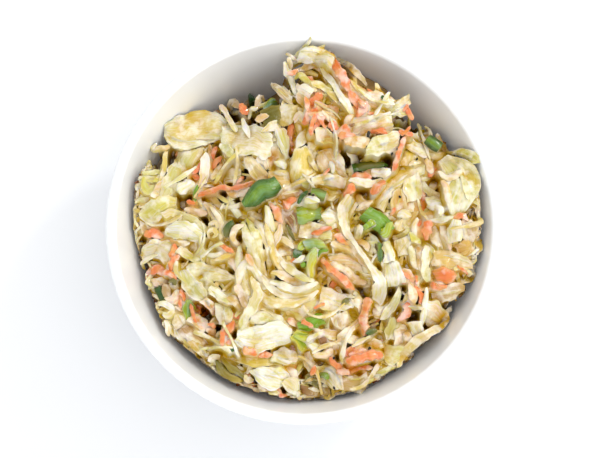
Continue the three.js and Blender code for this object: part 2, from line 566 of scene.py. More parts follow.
def section(points, flat):
    """A closed cross-section of a strip, from an ellipse (flat 1) towards a box (flat near 0)."""
    angle = FULL_TURN * (np.arange(points) + 0.5) / points
    c, s = np.cos(angle), np.sin(angle)
    return np.column_stack([np.sign(c) * np.abs(c) ** flat, np.sign(s) * np.abs(s) ** flat])


def ring_faces(n, points):
    idx = np.arange(n * points).reshape(n, points)
    nxt = np.roll(idx, -1, axis=1)
    return idx, np.stack([idx[:-1], nxt[:-1], nxt[1:], idx[1:]], axis=-1).reshape(-1, 4)


def soft_noise(run, length, rng):
    """A smooth random line of about unit size along a piece, with swings of a given length."""
    return sum(
        np.sin(FULL_TURN * run / (length * stretch) + rng.uniform(0, FULL_TURN))
        for stretch in rng.uniform(0.5, 2.2, 4)
    ) / 2


def add_strip(batch, centre, side, up, width, thickness, tint, rng, points, flat, rough=0.0, edge=0.12,
              curl=0.0, ragged=0.0, slant=0.0):
    """Adds a strip's closed skin to a batch.

    tint is one colour or one for each section. edge makes it paler towards both sides, and a little browner
    on one of them. points and flat give the section, rough and ragged make its skin and its sides uneven,
    curl raises the sides, and slant shears the two cut ends.
    """
    ring = section(points, flat)
    n = len(centre)
    run = run_along(centre)
    reach = np.ones(n)
    reach[0] = reach[-1] = END_WIDTH
    left, right = (1 + ragged * soft_noise(run, RAGGED_LENGTH, rng) for _ in range(2))
    uneven = np.where(ring[:, 0] > 0, right[:, None], left[:, None])
    bumps = 1 + rough * rng.normal(0, 1, (n, points))
    across = ring[:, 0] * (width * reach)[:, None] / 2 * bumps * uneven
    above = ring[:, 1] * (thickness * reach)[:, None] / 2 * bumps
    above = above + curl * (ring[:, 0] ** 2 - 0.4) * width[:, None] / 2
    verts = centre[:, None] + side[:, None] * across[..., None] + up[:, None] * above[..., None]
    sheared = np.exp(-run / SLANT_REACH) * rng.normal(0, slant)
    sheared = sheared + np.exp(-(run[-1] - run) / SLANT_REACH) * rng.normal(0, slant)
    along = unit(np.gradient(centre, axis=0))
    verts = verts + along[:, None] * (across * sheared[:, None])[..., None]
    idx, quads = ring_faces(n, points)
    first, last = idx[0], idx[-1]
    caps = []
    for k in range(points // 2 - 1):
        caps.append([first[k], first[points - 1 - k], first[points - 2 - k], first[k + 1]])
        caps.append([last[k], last[k + 1], last[points - 2 - k], last[points - 1 - k]])
    quads = np.vstack([quads, caps])
    start = rng.uniform(0, GRAIN_RANGE)
    grain = np.empty((n, points, 3))
    grain[..., 0] = (run + start)[:, None]
    grain[..., 1] = ring[:, 0] * (width / 2)[:, None]
    grain[..., 2] = start
    tints = np.broadcast_to(tint, (n, 3))[:, None]
    pale = edge * np.abs(ring[:, 0])[:, None] ** 3
    warm = 0.4 * edge * np.clip(-ring[:, 0], 0, 1)[:, None] ** 2
    tints = tints * (1 - pale) + WHITE * pale
    tints = tints * (1 - warm + warm * SOAK_AND_SHADE_TINT)
    batch.add(verts.reshape(-1, 3), quads, tints.reshape(-1, 3), grain.reshape(-1, 3))


def lay_piece(pile, rng, batch, path, width, thick, tilt, lift, bend, tint, raised=0, **skin):
    """Lets a strip settle on the pile, adds it to a batch and raises the pile to its top."""
    thick, tilt, lift = (np.broadcast_to(value, len(path)) for value in (thick, tilt, lift))
    centre, side, up = lay_strip(pile, path, width, thick, tilt, lift, bend)
    centre[:, 2] += raised
    add_strip(BATCHES[batch], centre, side, up, width, thick, tint, rng, **skin)
    cover_strip(pile, centre, side, up, width, thick, tint)


def add_tube(batch, centre, side, up, width, height, wall, slant, skin, inside, rng, points=16):
    """Adds a hollow stalk, open at both ends: slant shears its cuts along it, as a share of its width."""
    ring = section(points, 0.9)
    n = len(centre)
    along = unit(np.gradient(centre, axis=0))
    shear = along[:, None] * (ring[:, 0] * slant * width[:, None])[..., None] / 2

    def layer(shrink):
        across = (ring[:, 0] * (width / 2 - shrink)[:, None])[..., None]
        above = (ring[:, 1] * (height / 2 - shrink)[:, None])[..., None]
        wobble = 1 + 0.03 * rng.normal(0, 1, (n, points, 1))
        return centre[:, None] + (side[:, None] * across + up[:, None] * above) * wobble + shear

    idx, faces = ring_faces(n, points)
    inner = faces[:, ::-1] + n * points
    nxt = np.roll(idx, -1, axis=1)
    inner_idx, inner_nxt = idx + n * points, nxt + n * points
    start_rim = np.stack([idx[0], inner_idx[0], inner_nxt[0], nxt[0]], axis=-1)
    end_rim = np.stack([idx[-1], nxt[-1], inner_nxt[-1], inner_idx[-1]], axis=-1)
    outer, hollow = layer(0), layer(wall)
    verts = np.concatenate([outer, hollow]).reshape(-1, 3)
    quads = np.vstack([faces, inner, start_rim, end_rim])
    run = np.linspace(0, np.linalg.norm(centre[-1] - centre[0]), n)
    start = rng.uniform(0, GRAIN_RANGE)
    grain = np.empty((2, n, points, 3))
    grain[..., 0] = (run + start)[:, None]
    grain[..., 1] = np.arange(points) * width[:, None] / points * 3
    grain[..., 2] = start
    frost = np.clip(0.35 * rng.normal(0, 1, (n, points, 1)), 0, 1)
    frost = (frost + np.roll(frost, 1, 0) + np.roll(frost, 1, 1)) / 3
    # Painted highlight: the top of the stalk is paler along a narrow streak.
    painted_highlight = 0.6 * np.clip(ring[:, 1], 0, 1)[None, :, None] ** 8
    outside = skin * (1 - frost - painted_highlight) + ONION_FROST * frost + ONION_PAINTED_HIGHLIGHT * painted_highlight
    tints = np.concatenate([outside, np.broadcast_to(inside, outside.shape)]).reshape(-1, 3)
    batch.add(verts, quads, tints, grain.reshape(-1, 3))


# ---------------------------------------------------------------- leaves

# How thick a leaf is at its edge against its middle, and how much of white or a rim's colour shows there.
LEAF_PINCH = 0.75
LEAF_RIM = 0.4


def lay_leaf(pile, plan, relief, thickness, bend):
    """Lets a leaf settle on the pile. plan is a grid of plan points, relief its own shape in height.

    Returns the grid's middle surface.
    """
    flat_plan = plan.reshape(-1, 2)
    own = relief.ravel()
    need = pile.at(flat_plan) - own
    gap = ((flat_plan[:, None] - flat_plan) ** 2).sum(-1) / (2 * bend)
    height = (need - gap).max(1)
    z = (height + own).reshape(plan.shape[:2]) + thickness / 2 - PRESS
    return np.concatenate([plan, z[..., None]], axis=-1)


def grid_steps(surface):
    """The way from each point of a grid to the next, along it and across it."""
    return np.gradient(surface, axis=0), np.gradient(surface, axis=1)


def grid_normals(surface):
    normal = unit(np.cross(*grid_steps(surface)))
    return normal * np.sign(normal[..., 2:].mean() + 1e-9)


def cover_leaf(pile, surface, thickness, tints):
    """Raises the pile to a leaf's upper surface."""
    nu, nv = surface.shape[:2]
    u = np.linspace(0, nu - 1, nu * 3)
    v = np.linspace(0, nv - 1, nv * 3)
    lu, lv = np.minimum(u.astype(int), nu - 2), np.minimum(v.astype(int), nv - 2)
    su, sv = (u - lu)[:, None, None], (v - lv)[None, :, None]
    rows = surface[lu] * (1 - su) + surface[lu + 1] * su
    skin = rows[:, lv] * (1 - sv) + rows[:, lv + 1] * sv
    skin[..., 2] += thickness / 2
    pile.cover(skin, tints)


def add_leaf(batch, surface, thickness, tints, rng):
    """Adds a leaf's closed skin: its two faces, pinched together round the edge."""
    nu, nv = surface.shape[:2]
    normal = grid_normals(surface)
    pinch = np.ones((nu, nv, 1))
    pinch[[0, -1]] = LEAF_PINCH
    pinch[:, [0, -1]] = LEAF_PINCH
    half = normal * (thickness / 2) * pinch
    top, bottom = surface + half, surface - half
    idx = np.arange(nu * nv).reshape(nu, nv)
    face = np.stack([idx[:-1, :-1], idx[1:, :-1], idx[1:, 1:], idx[:-1, 1:]], axis=-1).reshape(-1, 4)
    under = face[:, ::-1] + nu * nv
    loop = np.concatenate([idx[:-1, 0], idx[-1, :-1], idx[:0:-1, -1], idx[0, :0:-1]])
    after = np.roll(loop, -1)
    rim = np.stack([loop, loop + nu * nv, after + nu * nv, after], axis=-1)
    du, dv = (step[nu // 2, nv // 2] for step in grid_steps(surface))
    if np.cross(du, dv)[2] < 0:
        face, under, rim = face[:, ::-1], under[:, ::-1], rim[:, ::-1]
    verts = np.vstack([top.reshape(-1, 3), bottom.reshape(-1, 3)])
    start = rng.uniform(0, GRAIN_RANGE)
    u, v = np.meshgrid(np.arange(nu), np.arange(nv), indexing="ij")
    grain = np.stack([
        u * np.linalg.norm(du) + start,
        (v - nv / 2) * np.linalg.norm(dv),
        np.full((nu, nv), start),
    ], axis=-1).reshape(-1, 3)
    shades = np.broadcast_to(tints, (nu, nv, 3)).reshape(-1, 3)
    batch.add(verts, np.vstack([face, under, rim]), np.vstack([shades, shades]), np.vstack([grain, grain]))


def lay_sheet(pile, rng, batch, plan, relief, thick, bend, tint, raised=0):
    """Lets a leaf settle on the pile, adds it to a batch and raises the pile to it. Returns its surface."""
    surface = lay_leaf(pile, plan, relief, thick, bend)
    surface[..., 2] += raised
    add_leaf(BATCHES[batch], surface, thick, tint, rng)
    cover_leaf(pile, surface, thick, tint)
    return surface


def edge_share(nu, nv):
    """0 in a grid's middle and 1 at its edge."""
    u = np.abs(np.linspace(-1, 1, nu))[:, None]
    v = np.abs(np.linspace(-1, 1, nv))[None, :]
    return np.maximum(u, v) ** 4


# ---------------------------------------------------------------- loose pieces

def cabbage_tint(rng):
    """A shred's own colour, from white rib to yellow leaf and pale green edge."""
    base = (CREAM, WHITE, WHITE, BUTTER, BUTTER, GREENISH, STRAW, LIME, LIME)[rng.integers(9)]
    other = (CREAM, LIME, GREENISH, WHITE, WHITE, ROSE)[rng.integers(6)]
    tint = blend_tint(base, other, rng.uniform(0, 0.6))
    return tint * rng.uniform(0.86, 1.04)


def sway(s, size, turns, rng):
    """A slow wave along a piece, of a given size, that goes through so many radians on the way."""
    return size * np.sin(s * turns + rng.uniform(0, 6))


def loose_shred(pile, rng, middle):
    length = rng.uniform(9, 28)
    wide = rng.uniform(1.2, 3.6)
    path = wander(rng, middle, rng.uniform(0, FULL_TURN), length, rng.uniform(0.03, 0.2), 0.8)
    s = np.linspace(0, 1, len(path))
    ends = np.interp(s, (0, 0.3, 0.7, 1), (rng.uniform(0.4, 1.1), 1, 1, rng.uniform(0.4, 1.1)))
    width = wide * (1 + sway(s, 0.16, rng.uniform(3, 9), rng)) * ends
    thick = rng.uniform(0.35, 0.7)
    tilt = rng.normal(0, 0.25) + sway(s, rng.normal(0, 0.4), rng.uniform(2, 6), rng)
    lift = rng.uniform(-0.8, 0.3) * np.abs(2 * s - 1) ** 2 + rng.uniform(-0.4, 0.4) * (s - 0.5) * 2
    bend = rng.uniform(1.8, 5)
    tint = blend_tint(cabbage_tint(rng), cabbage_tint(rng), s)
    batch = "cabbage_shreds" if rng.random() < 0.5 else "cabbage_shreds_pale"
    curl = rng.uniform(-0.4, 0.2)
    lay_piece(pile, rng, batch, path, width, thick, tilt, lift, bend, tint, curl=curl, **SHRED_SKIN)


def quad_plan(corners, nu, nv, rng, ragged):
    """A grid over four plan corners, with an uneven cut edge."""
    a, b, c, d = (np.asarray(p, float) for p in corners)
    u = np.linspace(0, 1, nu)[:, None, None]
    v = np.linspace(0, 1, nv)[None, :, None]
    plan = a * (1 - u) * (1 - v) + b * u * (1 - v) + c * u * v + d * (1 - u) * v
    middle = plan.mean((0, 1))
    out = plan - middle
    edge = np.maximum(np.abs(2 * u - 1), np.abs(2 * v - 1)) ** 3
    turn = np.arctan2(out[..., 1], out[..., 0])[..., None]
    bumps = sum(np.sin(turn * k + rng.uniform(0, 6)) / k**0.7 for k in (2, 3, 5, 8, 13))
    fray = rng.normal(0, 0.4, (nu, nv, 1)) * (edge > 0.9)
    return middle + out * (1 + ragged * edge * (bumps * 0.5 + fray))


def leaf_relief(nu, nv, size, rng, cup, ruffle):
    """A leaf's own shape: a cup or a trough, a twist and ruffled edges."""
    u = np.linspace(-1, 1, nu)[:, None]
    v = np.linspace(-1, 1, nv)[None, :]
    bowl = cup * (rng.uniform(0.2, 1) * u**2 + rng.uniform(0.2, 1) * v**2)
    twist = rng.normal(0, 0.5) * u * v
    frill = ruffle * np.abs(v) ** 2 * np.sin(u * rng.uniform(4, 9) + rng.uniform(0, 6) + v)
    frill = frill + ruffle * np.abs(u) ** 2 * np.sin(v * rng.uniform(4, 8) + rng.uniform(0, 6))
    slope = rng.normal(0, 0.12) * u + rng.normal(0, 0.12) * v
    return size * (bowl * 0.25 + twist * 0.2 + slope) + frill


def loose_flake(pile, rng, middle, scale=1.0):
    size = rng.uniform(4, 10) * scale
    turn = rng.uniform(0, FULL_TURN)
    slim = rng.uniform(0.35, 0.95)
    spin = np.array([[math.cos(turn), -math.sin(turn)], [math.sin(turn), math.cos(turn)]])
    corners = []
    for k in range(4):
        angle = math.pi / 4 + k * math.pi / 2 + rng.normal(0, 0.22)
        reach = size * rng.uniform(0.55, 0.95)
        spot = np.array([math.cos(angle) * reach, math.sin(angle) * reach * slim])
        corners.append(middle + spin @ spot)
    nu, nv = 13, 10
    plan = keep_in_heap(quad_plan(corners, nu, nv, rng, 0.13))
    relief = leaf_relief(nu, nv, size, rng, rng.normal(0.1, 0.8), rng.uniform(0.1, 0.4))
    thick = rng.uniform(0.35, 0.6)
    bend = rng.uniform(2.5, 7)
    u = np.linspace(0, 1, nu)[:, None] * np.ones(nv)
    tint = blend_tint(cabbage_tint(rng), cabbage_tint(rng), u)
    tint = blend_tint(tint, WHITE, LEAF_RIM * edge_share(nu, nv))
    lay_sheet(pile, rng, "cabbage_flakes", plan, relief, thick, bend, tint)


def small_flake(pile, rng, middle):
    loose_flake(pile, rng, middle, 0.5)


def loose_rib(pile, rng, middle):
    length = rng.uniform(4, 10)
    path = wander(rng, middle, rng.uniform(0, FULL_TURN), length, 0.06, 0.9)
    s = np.linspace(0, 1, len(path))
    width = rng.uniform(2.4, 4.2) * (0.9 + sway(s, 0.1, 6, rng))
    thick = rng.uniform(0.9, 1.6)
    tilt = rng.normal(0, 0.5)
    tint = blend_tint(WHITE, GREENISH, rng.uniform(0, 0.6))
    lay_piece(pile, rng, "cabbage_ribs", path, width, thick, tilt, 0, 20, tint, **RIB_SKIN)


def lay_carrot(pile, rng, path, wide, lift, paleness):
    """A grated carrot shred: a rough bar, pale where the dressing coats it."""
    n = len(path)
    s = np.linspace(0, 1, n)
    width = wide * (0.92 + sway(s, 0.08, 7, rng) + rng.normal(0, 0.05, n))
    width *= np.minimum(1, 0.6 + 3 * np.minimum(s, 1 - s))
    thick = width * rng.uniform(0.4, 0.55)
    tilt = rng.normal(0, 0.3) + 0.4 * (s - 0.5) * rng.normal(0, 1)
    share = np.clip(paleness + 0.5 * soft_noise(s * n, 5, rng), 0, 1.4)
    tint = blend_tint(CARROT, CARROT_PALE, share)
    lay_piece(pile, rng, "carrot_shreds", path, width, thick, tilt, lift, 10, tint, **CARROT_SKIN)


def loose_carrot(pile, rng, middle):
    length = rng.uniform(5, 15)
    path = wander(rng, middle, rng.uniform(0, FULL_TURN), length, 0.05, 0.8)
    lay_carrot(pile, rng, path, rng.uniform(1.7, 3.0), 0, 0.4)


def carrot_crumb(pile, rng, middle):
    path = wander(rng, middle, rng.uniform(0, FULL_TURN), rng.uniform(2, 7), 0.1, 0.5)
    lay_carrot(pile, rng, path, rng.uniform(0.9, 1.9), 0, rng.uniform(0.1, 0.6))


def loose_strand(pile, rng, middle):
    """A thin strand torn from a leaf's edge."""
    path = wander(rng, middle, rng.uniform(0, FULL_TURN), rng.uniform(6, 18), rng.uniform(0.04, 0.16), 0.6)
    s = np.linspace(0, 1, len(path))
    width = rng.uniform(0.7, 1.6) * (1 + sway(s, 0.3, 9, rng))
    width = width * np.interp(s, (0, 0.2, 0.8, 1), (0.8, 1, 1, 0.8))
    lift = rng.uniform(-0.2, 0.3) * np.sin(math.pi * s)
    bend = rng.uniform(1.5, 5)
    tint = blend_tint(cabbage_tint(rng), (WHITE, CREAM, BUTTER)[rng.integers(3)], 0.5)
    lay_piece(pile, rng, "cabbage_strands", path, width, width * 0.5, 0, lift, bend, tint, **STRAND_SKIN)


def fine_shred(pile, rng, middle, batch="cabbage_strands"):
    """A short, limp shred that drapes into a valley between bigger pieces."""
    path = wander(rng, middle, rng.uniform(0, FULL_TURN), rng.uniform(4, 14), rng.uniform(0.04, 0.16), 0.5)
    s = np.linspace(0, 1, len(path))
    width = rng.uniform(0.6, 1.7) * (1 + sway(s, 0.2, 7, rng))
    width = width * np.interp(s, (0, 0.2, 0.8, 1), (rng.uniform(0.4, 1), 1, 1, rng.uniform(0.4, 1)))
    thick = rng.uniform(0.3, 0.5)
    tilt = rng.normal(0, 0.3)
    bend = rng.uniform(0.8, 2)
    tint = blend_tint(cabbage_tint(rng), cabbage_tint(rng), s)
    lay_piece(pile, rng, batch, path, width, thick, tilt, 0, bend, tint, **FINE_SKIN)


# ---------------------------------------------------------------- filling the heap

# Which kinds fill the heap and its valleys: a kind is taken when a draw from 0 to 1 is below its number.
HEAP_MIX = ((0.55, loose_shred), (0.66, loose_flake), (0.69, loose_rib), (1, loose_carrot))
VALLEY_MIX = ((0.88, fine_shred), (0.92, small_flake), (1, carrot_crumb))


def drop_pieces(pile, weights, count, jitter, mix, rng):
    """Drops loose pieces of mixed kinds, more of them where the weights of the grid's cells are higher."""
    odds = np.cumsum(weights.ravel())
    for pick in np.searchsorted(odds, rng.uniform(0, odds[-1], count)):
        i, j = divmod(pick, len(GRID_LINE))
        middle = np.array([GRID_LINE[i], GRID_LINE[j]]) + rng.normal(0, jitter, 2)
        draw = rng.random()
        piece = next(kind for below, kind in mix if draw < below)
        piece(pile, rng, middle)


def fill_heap(pile, target, rng):
    """Lays loose pieces wherever the pile is lowest against its target, until little is missing."""
    for _ in range(math.ceil(FILL_MOST / FILL_ROUND)):
        lack = np.clip(target - pile.h, 0, None) * INSIDE
        if lack.sum() * CELL**2 < FILL_LEFT:
            break
        drop_pieces(pile, lack**2, FILL_ROUND, 0.5, HEAP_MIX, rng)


def fill_valleys(pile, count, gaps, rng):
    """Drops small pieces where the heap lies lower than what is round it, but not into the deep gaps."""
    for _ in range(VALLEY_ROUNDS):
        depth = np.clip(blurred_inside(pile.h, VALLEY_REACH) - pile.h, 0, 2)
        depth[~INSIDE | (gaps > OPEN_GAP)] = 0
        drop_pieces(pile, depth**2, count // VALLEY_ROUNDS, 0.3, VALLEY_MIX, rng)


def fill_edge(pile, count, gaps, rng):
    """Leans small shreds against the glaze along the heap's edge, but not at the back or the deep gaps."""
    for turn in np.radians(rng.uniform(*EDGE_BEARINGS, count)):
        reach = HEAP_REACH[int(math.degrees(turn)) % 360] - rng.uniform(0, 1)
        middle = np.array([math.cos(turn), math.sin(turn)]) * reach
        i, j = pile.index(middle)
        if gaps[i, j] < OPEN_GAP:
            fine_shred(pile, rng, middle, "cabbage_wall_strands")


def scatter(pile, where, count, piece, rng):
    """Drops loose pieces of one kind on the marked cells of the heap."""
    i, j = np.nonzero(where)
    for pick in rng.integers(len(i), size=count):
        piece(pile, rng, np.array([GRID_LINE[i[pick]], GRID_LINE[j[pick]]]))


# ---------------------------------------------------------------- pieces traced from the photograph

# Each row names a piece and gives the line or the two edges that the photograph shows, in its pixels.
# Widths, thicknesses and lifts are real sizes. Later rows lie on earlier ones.

def strip(kind, name, width, *path, tint=CREAM, to=None, thick=0.5, lift=0, taper=(0.45, 0.45)):
    """A shred, rib, carrot or onion strip along a line of pixels. Its colour turns from tint into to.

    lift is how far it stands off the pile, once or at even places along it. taper is the share of its width
    at the two ends, or at more even places along it.
    """
    return dict(
        name=name, kind=kind, width=width, path=path, tint=tint, to=tint if to is None else to,
        thick=thick, lift=lift, taper=taper,
    )


shred = partial(strip, "shred")
rib = partial(strip, "rib")
onion = partial(strip, "onion")


def carrot(name, width, *path, pale=0.35, lift=0):
    """A carrot shred. pale is how much dressing coats it."""
    return strip("carrot", name, width, *path, tint=pale, lift=lift)


def leaf(name, near, far, tint=CREAM, to=None, heart=None, rim=WHITE, cup=0.0, lift=0, thick=0.45,
         kind="cabbage_leaves", ragged=0.3):
    """A leaf between two edges of pixels. cup raises its long edges, heart is its colour in the middle."""
    return dict(
        name=name, kind=kind, near=near, far=far, tint=tint, to=tint if to is None else to, heart=heart,
        rim=rim, cup=cup, lift=lift, thick=thick, ragged=ragged,
    )


onion_leaf = partial(leaf, kind="green_onion")


def tube(name, width, height, *path, wall=0.7, slant=0.0, skin=ONION_DARK, inside=ONION_PALE, lift=0,
         taper=(0.8, 1, 1, 0.85)):
    """A slice of green onion, hollow from end to end along a line of pixels."""
    return dict(
        name=name, kind="tube", width=width, height=height, path=path, wall=wall, slant=slant,
        skin=skin, inside=inside, lift=lift, taper=taper,
    )


BACK_HOLLOW = (
    leaf("tan flap in the hollow", ((273, 99), (282, 95), (292, 97)), ((274, 106), (284, 107), (293, 105)),
         tint=TAN),
    shred("tan shred at the hollow's left", 3.0, (229, 113), (234, 109), (240, 112), tint=TAN),
    shred("tan shred behind the onion", 2.8, (243, 109), (249, 105), (255, 105), (259, 111), tint=STRAW),
    onion("onion leaf in the hollow", 2.6, (252, 97), (253, 104), (251, 112), tint=ONION_DARK, thick=1.6),
    shred("pale stalk in the hollow", 2.0, (265, 103), (261, 109), (258, 115), (256, 121), tint=TAN),
    onion_leaf("grey-green leaf", ((264, 104), (271, 101), (277, 104)),
               ((265, 114), (272, 113), (279, 113)), tint=ONION_FROST),
    leaf("khaki leaf at the back", ((277, 112), (285, 105), (298, 106)),
         ((272, 123), (285, 127), (298, 118)), tint=KHAKI, to=BUTTER, rim=KHAKI),
    onion_leaf("dull green leaf", ((261, 121), (269, 116), (280, 111)),
               ((264, 127), (273, 125), (281, 121)), tint=OLIVE, rim=KHAKI),
    shred("white shred in the hollow", 1.7, (258, 109), (254, 116), (250, 125), tint=WHITE),
    shred("pale shred by it", 2.4, (268, 115), (262, 119), (257, 125), tint=ROSE),
    carrot("carrot in the hollow", 2.8, (240, 111), (244, 116), (248, 122), pale=0.2),
)

PEAK = (
    leaf("peak's back leaf", ((289, 58), (299, 54), (312, 50), (324, 48)),
         ((292, 68), (303, 64), (314, 64), (325, 64)), tint=CREAM, to=WHITE, lift=(0, 0.5, 0.5, 0)),
    shred("tip strand", 2.4, (311, 37), (309, 43), (305, 50), (299, 57), (293, 63), (287, 70),
          tint=GREENISH, to=WHITE, lift=(2.5, 2.5, 2, 2, 1.5, 1), taper=(0.3, 0.45, 0.8, 1, 0.9, 0.6)),
    shred("spike beside the tip", 1.3, (286, 55), (291, 58), (297, 61), tint=CREAM, lift=(2, 1)),
    shred("left blade", 2.2, (289, 57), (290, 64), (289, 71), tint=CREAM, lift=(1, 1, 0)),
    shred("left edge blade", 2.4, (285, 72), (288, 80), (292, 89), (296, 97), tint=WHITE,
          lift=(1.5, 1.5, 0.5)),
    shred("peak shred one", 2.2, (293, 79), (300, 76), (309, 75), (318, 77), tint=CREAM, to=BUTTER),
    shred("peak shred two", 2.3, (295, 86), (303, 83), (310, 85), (316, 92), tint=LIME, to=BUTTER),
    leaf("peak's left flap", ((297, 89), (306, 89), (314, 92)), ((296, 103), (302, 107), (308, 104)),
         tint=ROSE, to=CREAM, lift=(1, 0)),
    shred("peak golden shred", 2.2, (300, 70), (309, 68), (318, 69), (324, 74), tint=STRAW, to=GOLD),
    shred("peak shred three", 2.2, (311, 83), (318, 86), (326, 90), (333, 92), tint=BUTTER, to=LIME),
    carrot("peak carrot low left", 3.0, (321, 94), (315, 102), (308, 112), pale=0.25),
    carrot("peak carrot low left two", 3.4, (303, 119), (310, 115), (318, 111), pale=0.3),
    leaf("rosy flap", ((316, 101), (325, 104), (337, 107)), ((313, 113), (325, 117), (338, 116)), tint=ROSE,
         to=CARROT_PALE, cup=-0.6),
    shred("yellow shred under the long one", 2.6, (328, 92), (336, 99), (345, 108), tint=BUTTER, to=KHAKI),
    leaf("right flank leaf", ((345, 78), (355, 84), (366, 93), (376, 100)),
         ((350, 95), (360, 102), (370, 108), (378, 110)), tint=CREAM, to=ROSE),
    carrot("peak carrot lower", 3.2, (350, 91), (355, 102), (362, 113), pale=0.3, lift=0.6),
    carrot("peak carrot chunk", 2.6, (356, 115), (363, 111), (368, 105), pale=0.3),
    leaf("far right flap", ((359, 90), (369, 91), (379, 92), (385, 97)),
         ((362, 98), (371, 101), (380, 103), (384, 104)), tint=ROSE, to=CREAM, lift=(0, 1, 1)),
    shred("peak's upper edge", 2.0, (333, 57), (343, 67), (354, 78), (366, 91), tint=CREAM,
          lift=(1, 1.5, 0.5)),
    shred("second edge strand", 1.6, (350, 80), (357, 88), (366, 96), tint=BUTTER),
    carrot("peak carrot upper", 3.4, (328, 58), (335, 69), (343, 81), (349, 91), pale=0.25,
           lift=(1.2, 1.7, 1.4)),
    shred("long white strand", 2.1, (319, 64), (328, 78), (338, 92), (347, 106), (355, 121), tint=WHITE,
          lift=(1, 1.6, 1.4, 0.6)),
    leaf("peak's cap", ((302, 51), (313, 47), (325, 49), (335, 57)),
         ((297, 65), (311, 66), (322, 68), (331, 74)), tint=WHITE, to=CREAM, cup=-1.0,
         lift=(0.8, 1.2, 0.8)),
    onion("onion bit on the flank", 1.4, (381, 97), (387, 100), tint=ONION_DARK),
    leaf("white cluster", ((383, 99), (388, 98), (393, 101)), ((382, 107), (387, 109), (392, 108)),
         tint=WHITE),
    leaf("right shoulder leaf", ((391, 104), (398, 106), (404, 110)), ((388, 121), (396, 124), (405, 122)),
         tint=GREENISH, to=CREAM, cup=0.6),
)

BELOW_PEAK = (
    leaf("pink-white leaf", ((344, 122), (360, 118), (376, 116), (390, 114)),
         ((350, 141), (365, 139), (380, 137), (393, 133)), tint=WHITE, to=CREAM, heart=ROSE),
    leaf("cream leaf right of it", ((388, 112), (394, 122), (396, 134)),
         ((402, 110), (404, 122), (402, 134)), tint=CREAM, heart=GREENISH),
    shred("white shred left of the peak's foot", 2.4, (294, 122), (300, 116), (304, 125), tint=ROSE,
          to=WHITE),
    carrot("carrot on the foot", 3.4, (303, 121), (310, 117), (317, 115), pale=0.15),
    leaf("salmon flap", ((310, 113), (322, 112), (336, 112)), ((312, 123), (324, 122), (338, 126)),
         tint=CARROT_PALE, to=ROSE),
    shred("slanting cream shred", 1.8, (322, 112), (331, 121), (343, 133), tint=ROSE, to=WHITE,
          lift=(0, 0.8, 0)),
    carrot("deep carrot", 3.0, (330, 125), (334, 131), (337, 138), pale=0),
    carrot("short carrot", 2.6, (322, 120), (318, 127), (314, 134), pale=0.1),
    leaf("golden cup", ((315, 134), (323, 131), (332, 137)), ((316, 145), (326, 147), (336, 147)),
         tint=BUTTER, heart=GOLD, rim=GREENISH, cup=1.0),
    shred("white shred by the cup", 1.9, (352, 116), (347, 122), (345, 130), tint=ROSE),
    carrot("carrot wedge", 3.6, (347, 128), (344, 136), (341, 143), pale=0.45),
    carrot("carrot wedge's foot", 2.8, (338, 140), (345, 141), (353, 142), pale=0.5),
    # Painted shade: a thin brown strip laid along a crease.
    shred("brown crease", 1.4, (350, 127), (354, 124), tint=WILT_AND_SHADE_BROWN),
    carrot("orange chunk", 2.9, (373, 134), (379, 133), (386, 135), pale=0.0, lift=0.6),
    leaf("golden flap over the hole", ((343, 145), (354, 143), (366, 144), (374, 147)),
         ((345, 152), (355, 154), (363, 154), (367, 150)), tint=GOLD, to=STRAW, rim=STRAW),
    leaf("broad cream leaf", ((371, 141), (380, 139), (391, 137), (399, 137)),
         ((363, 158), (374, 159), (388, 157), (397, 152)), tint=GREENISH, to=CREAM, cup=0.5),
)

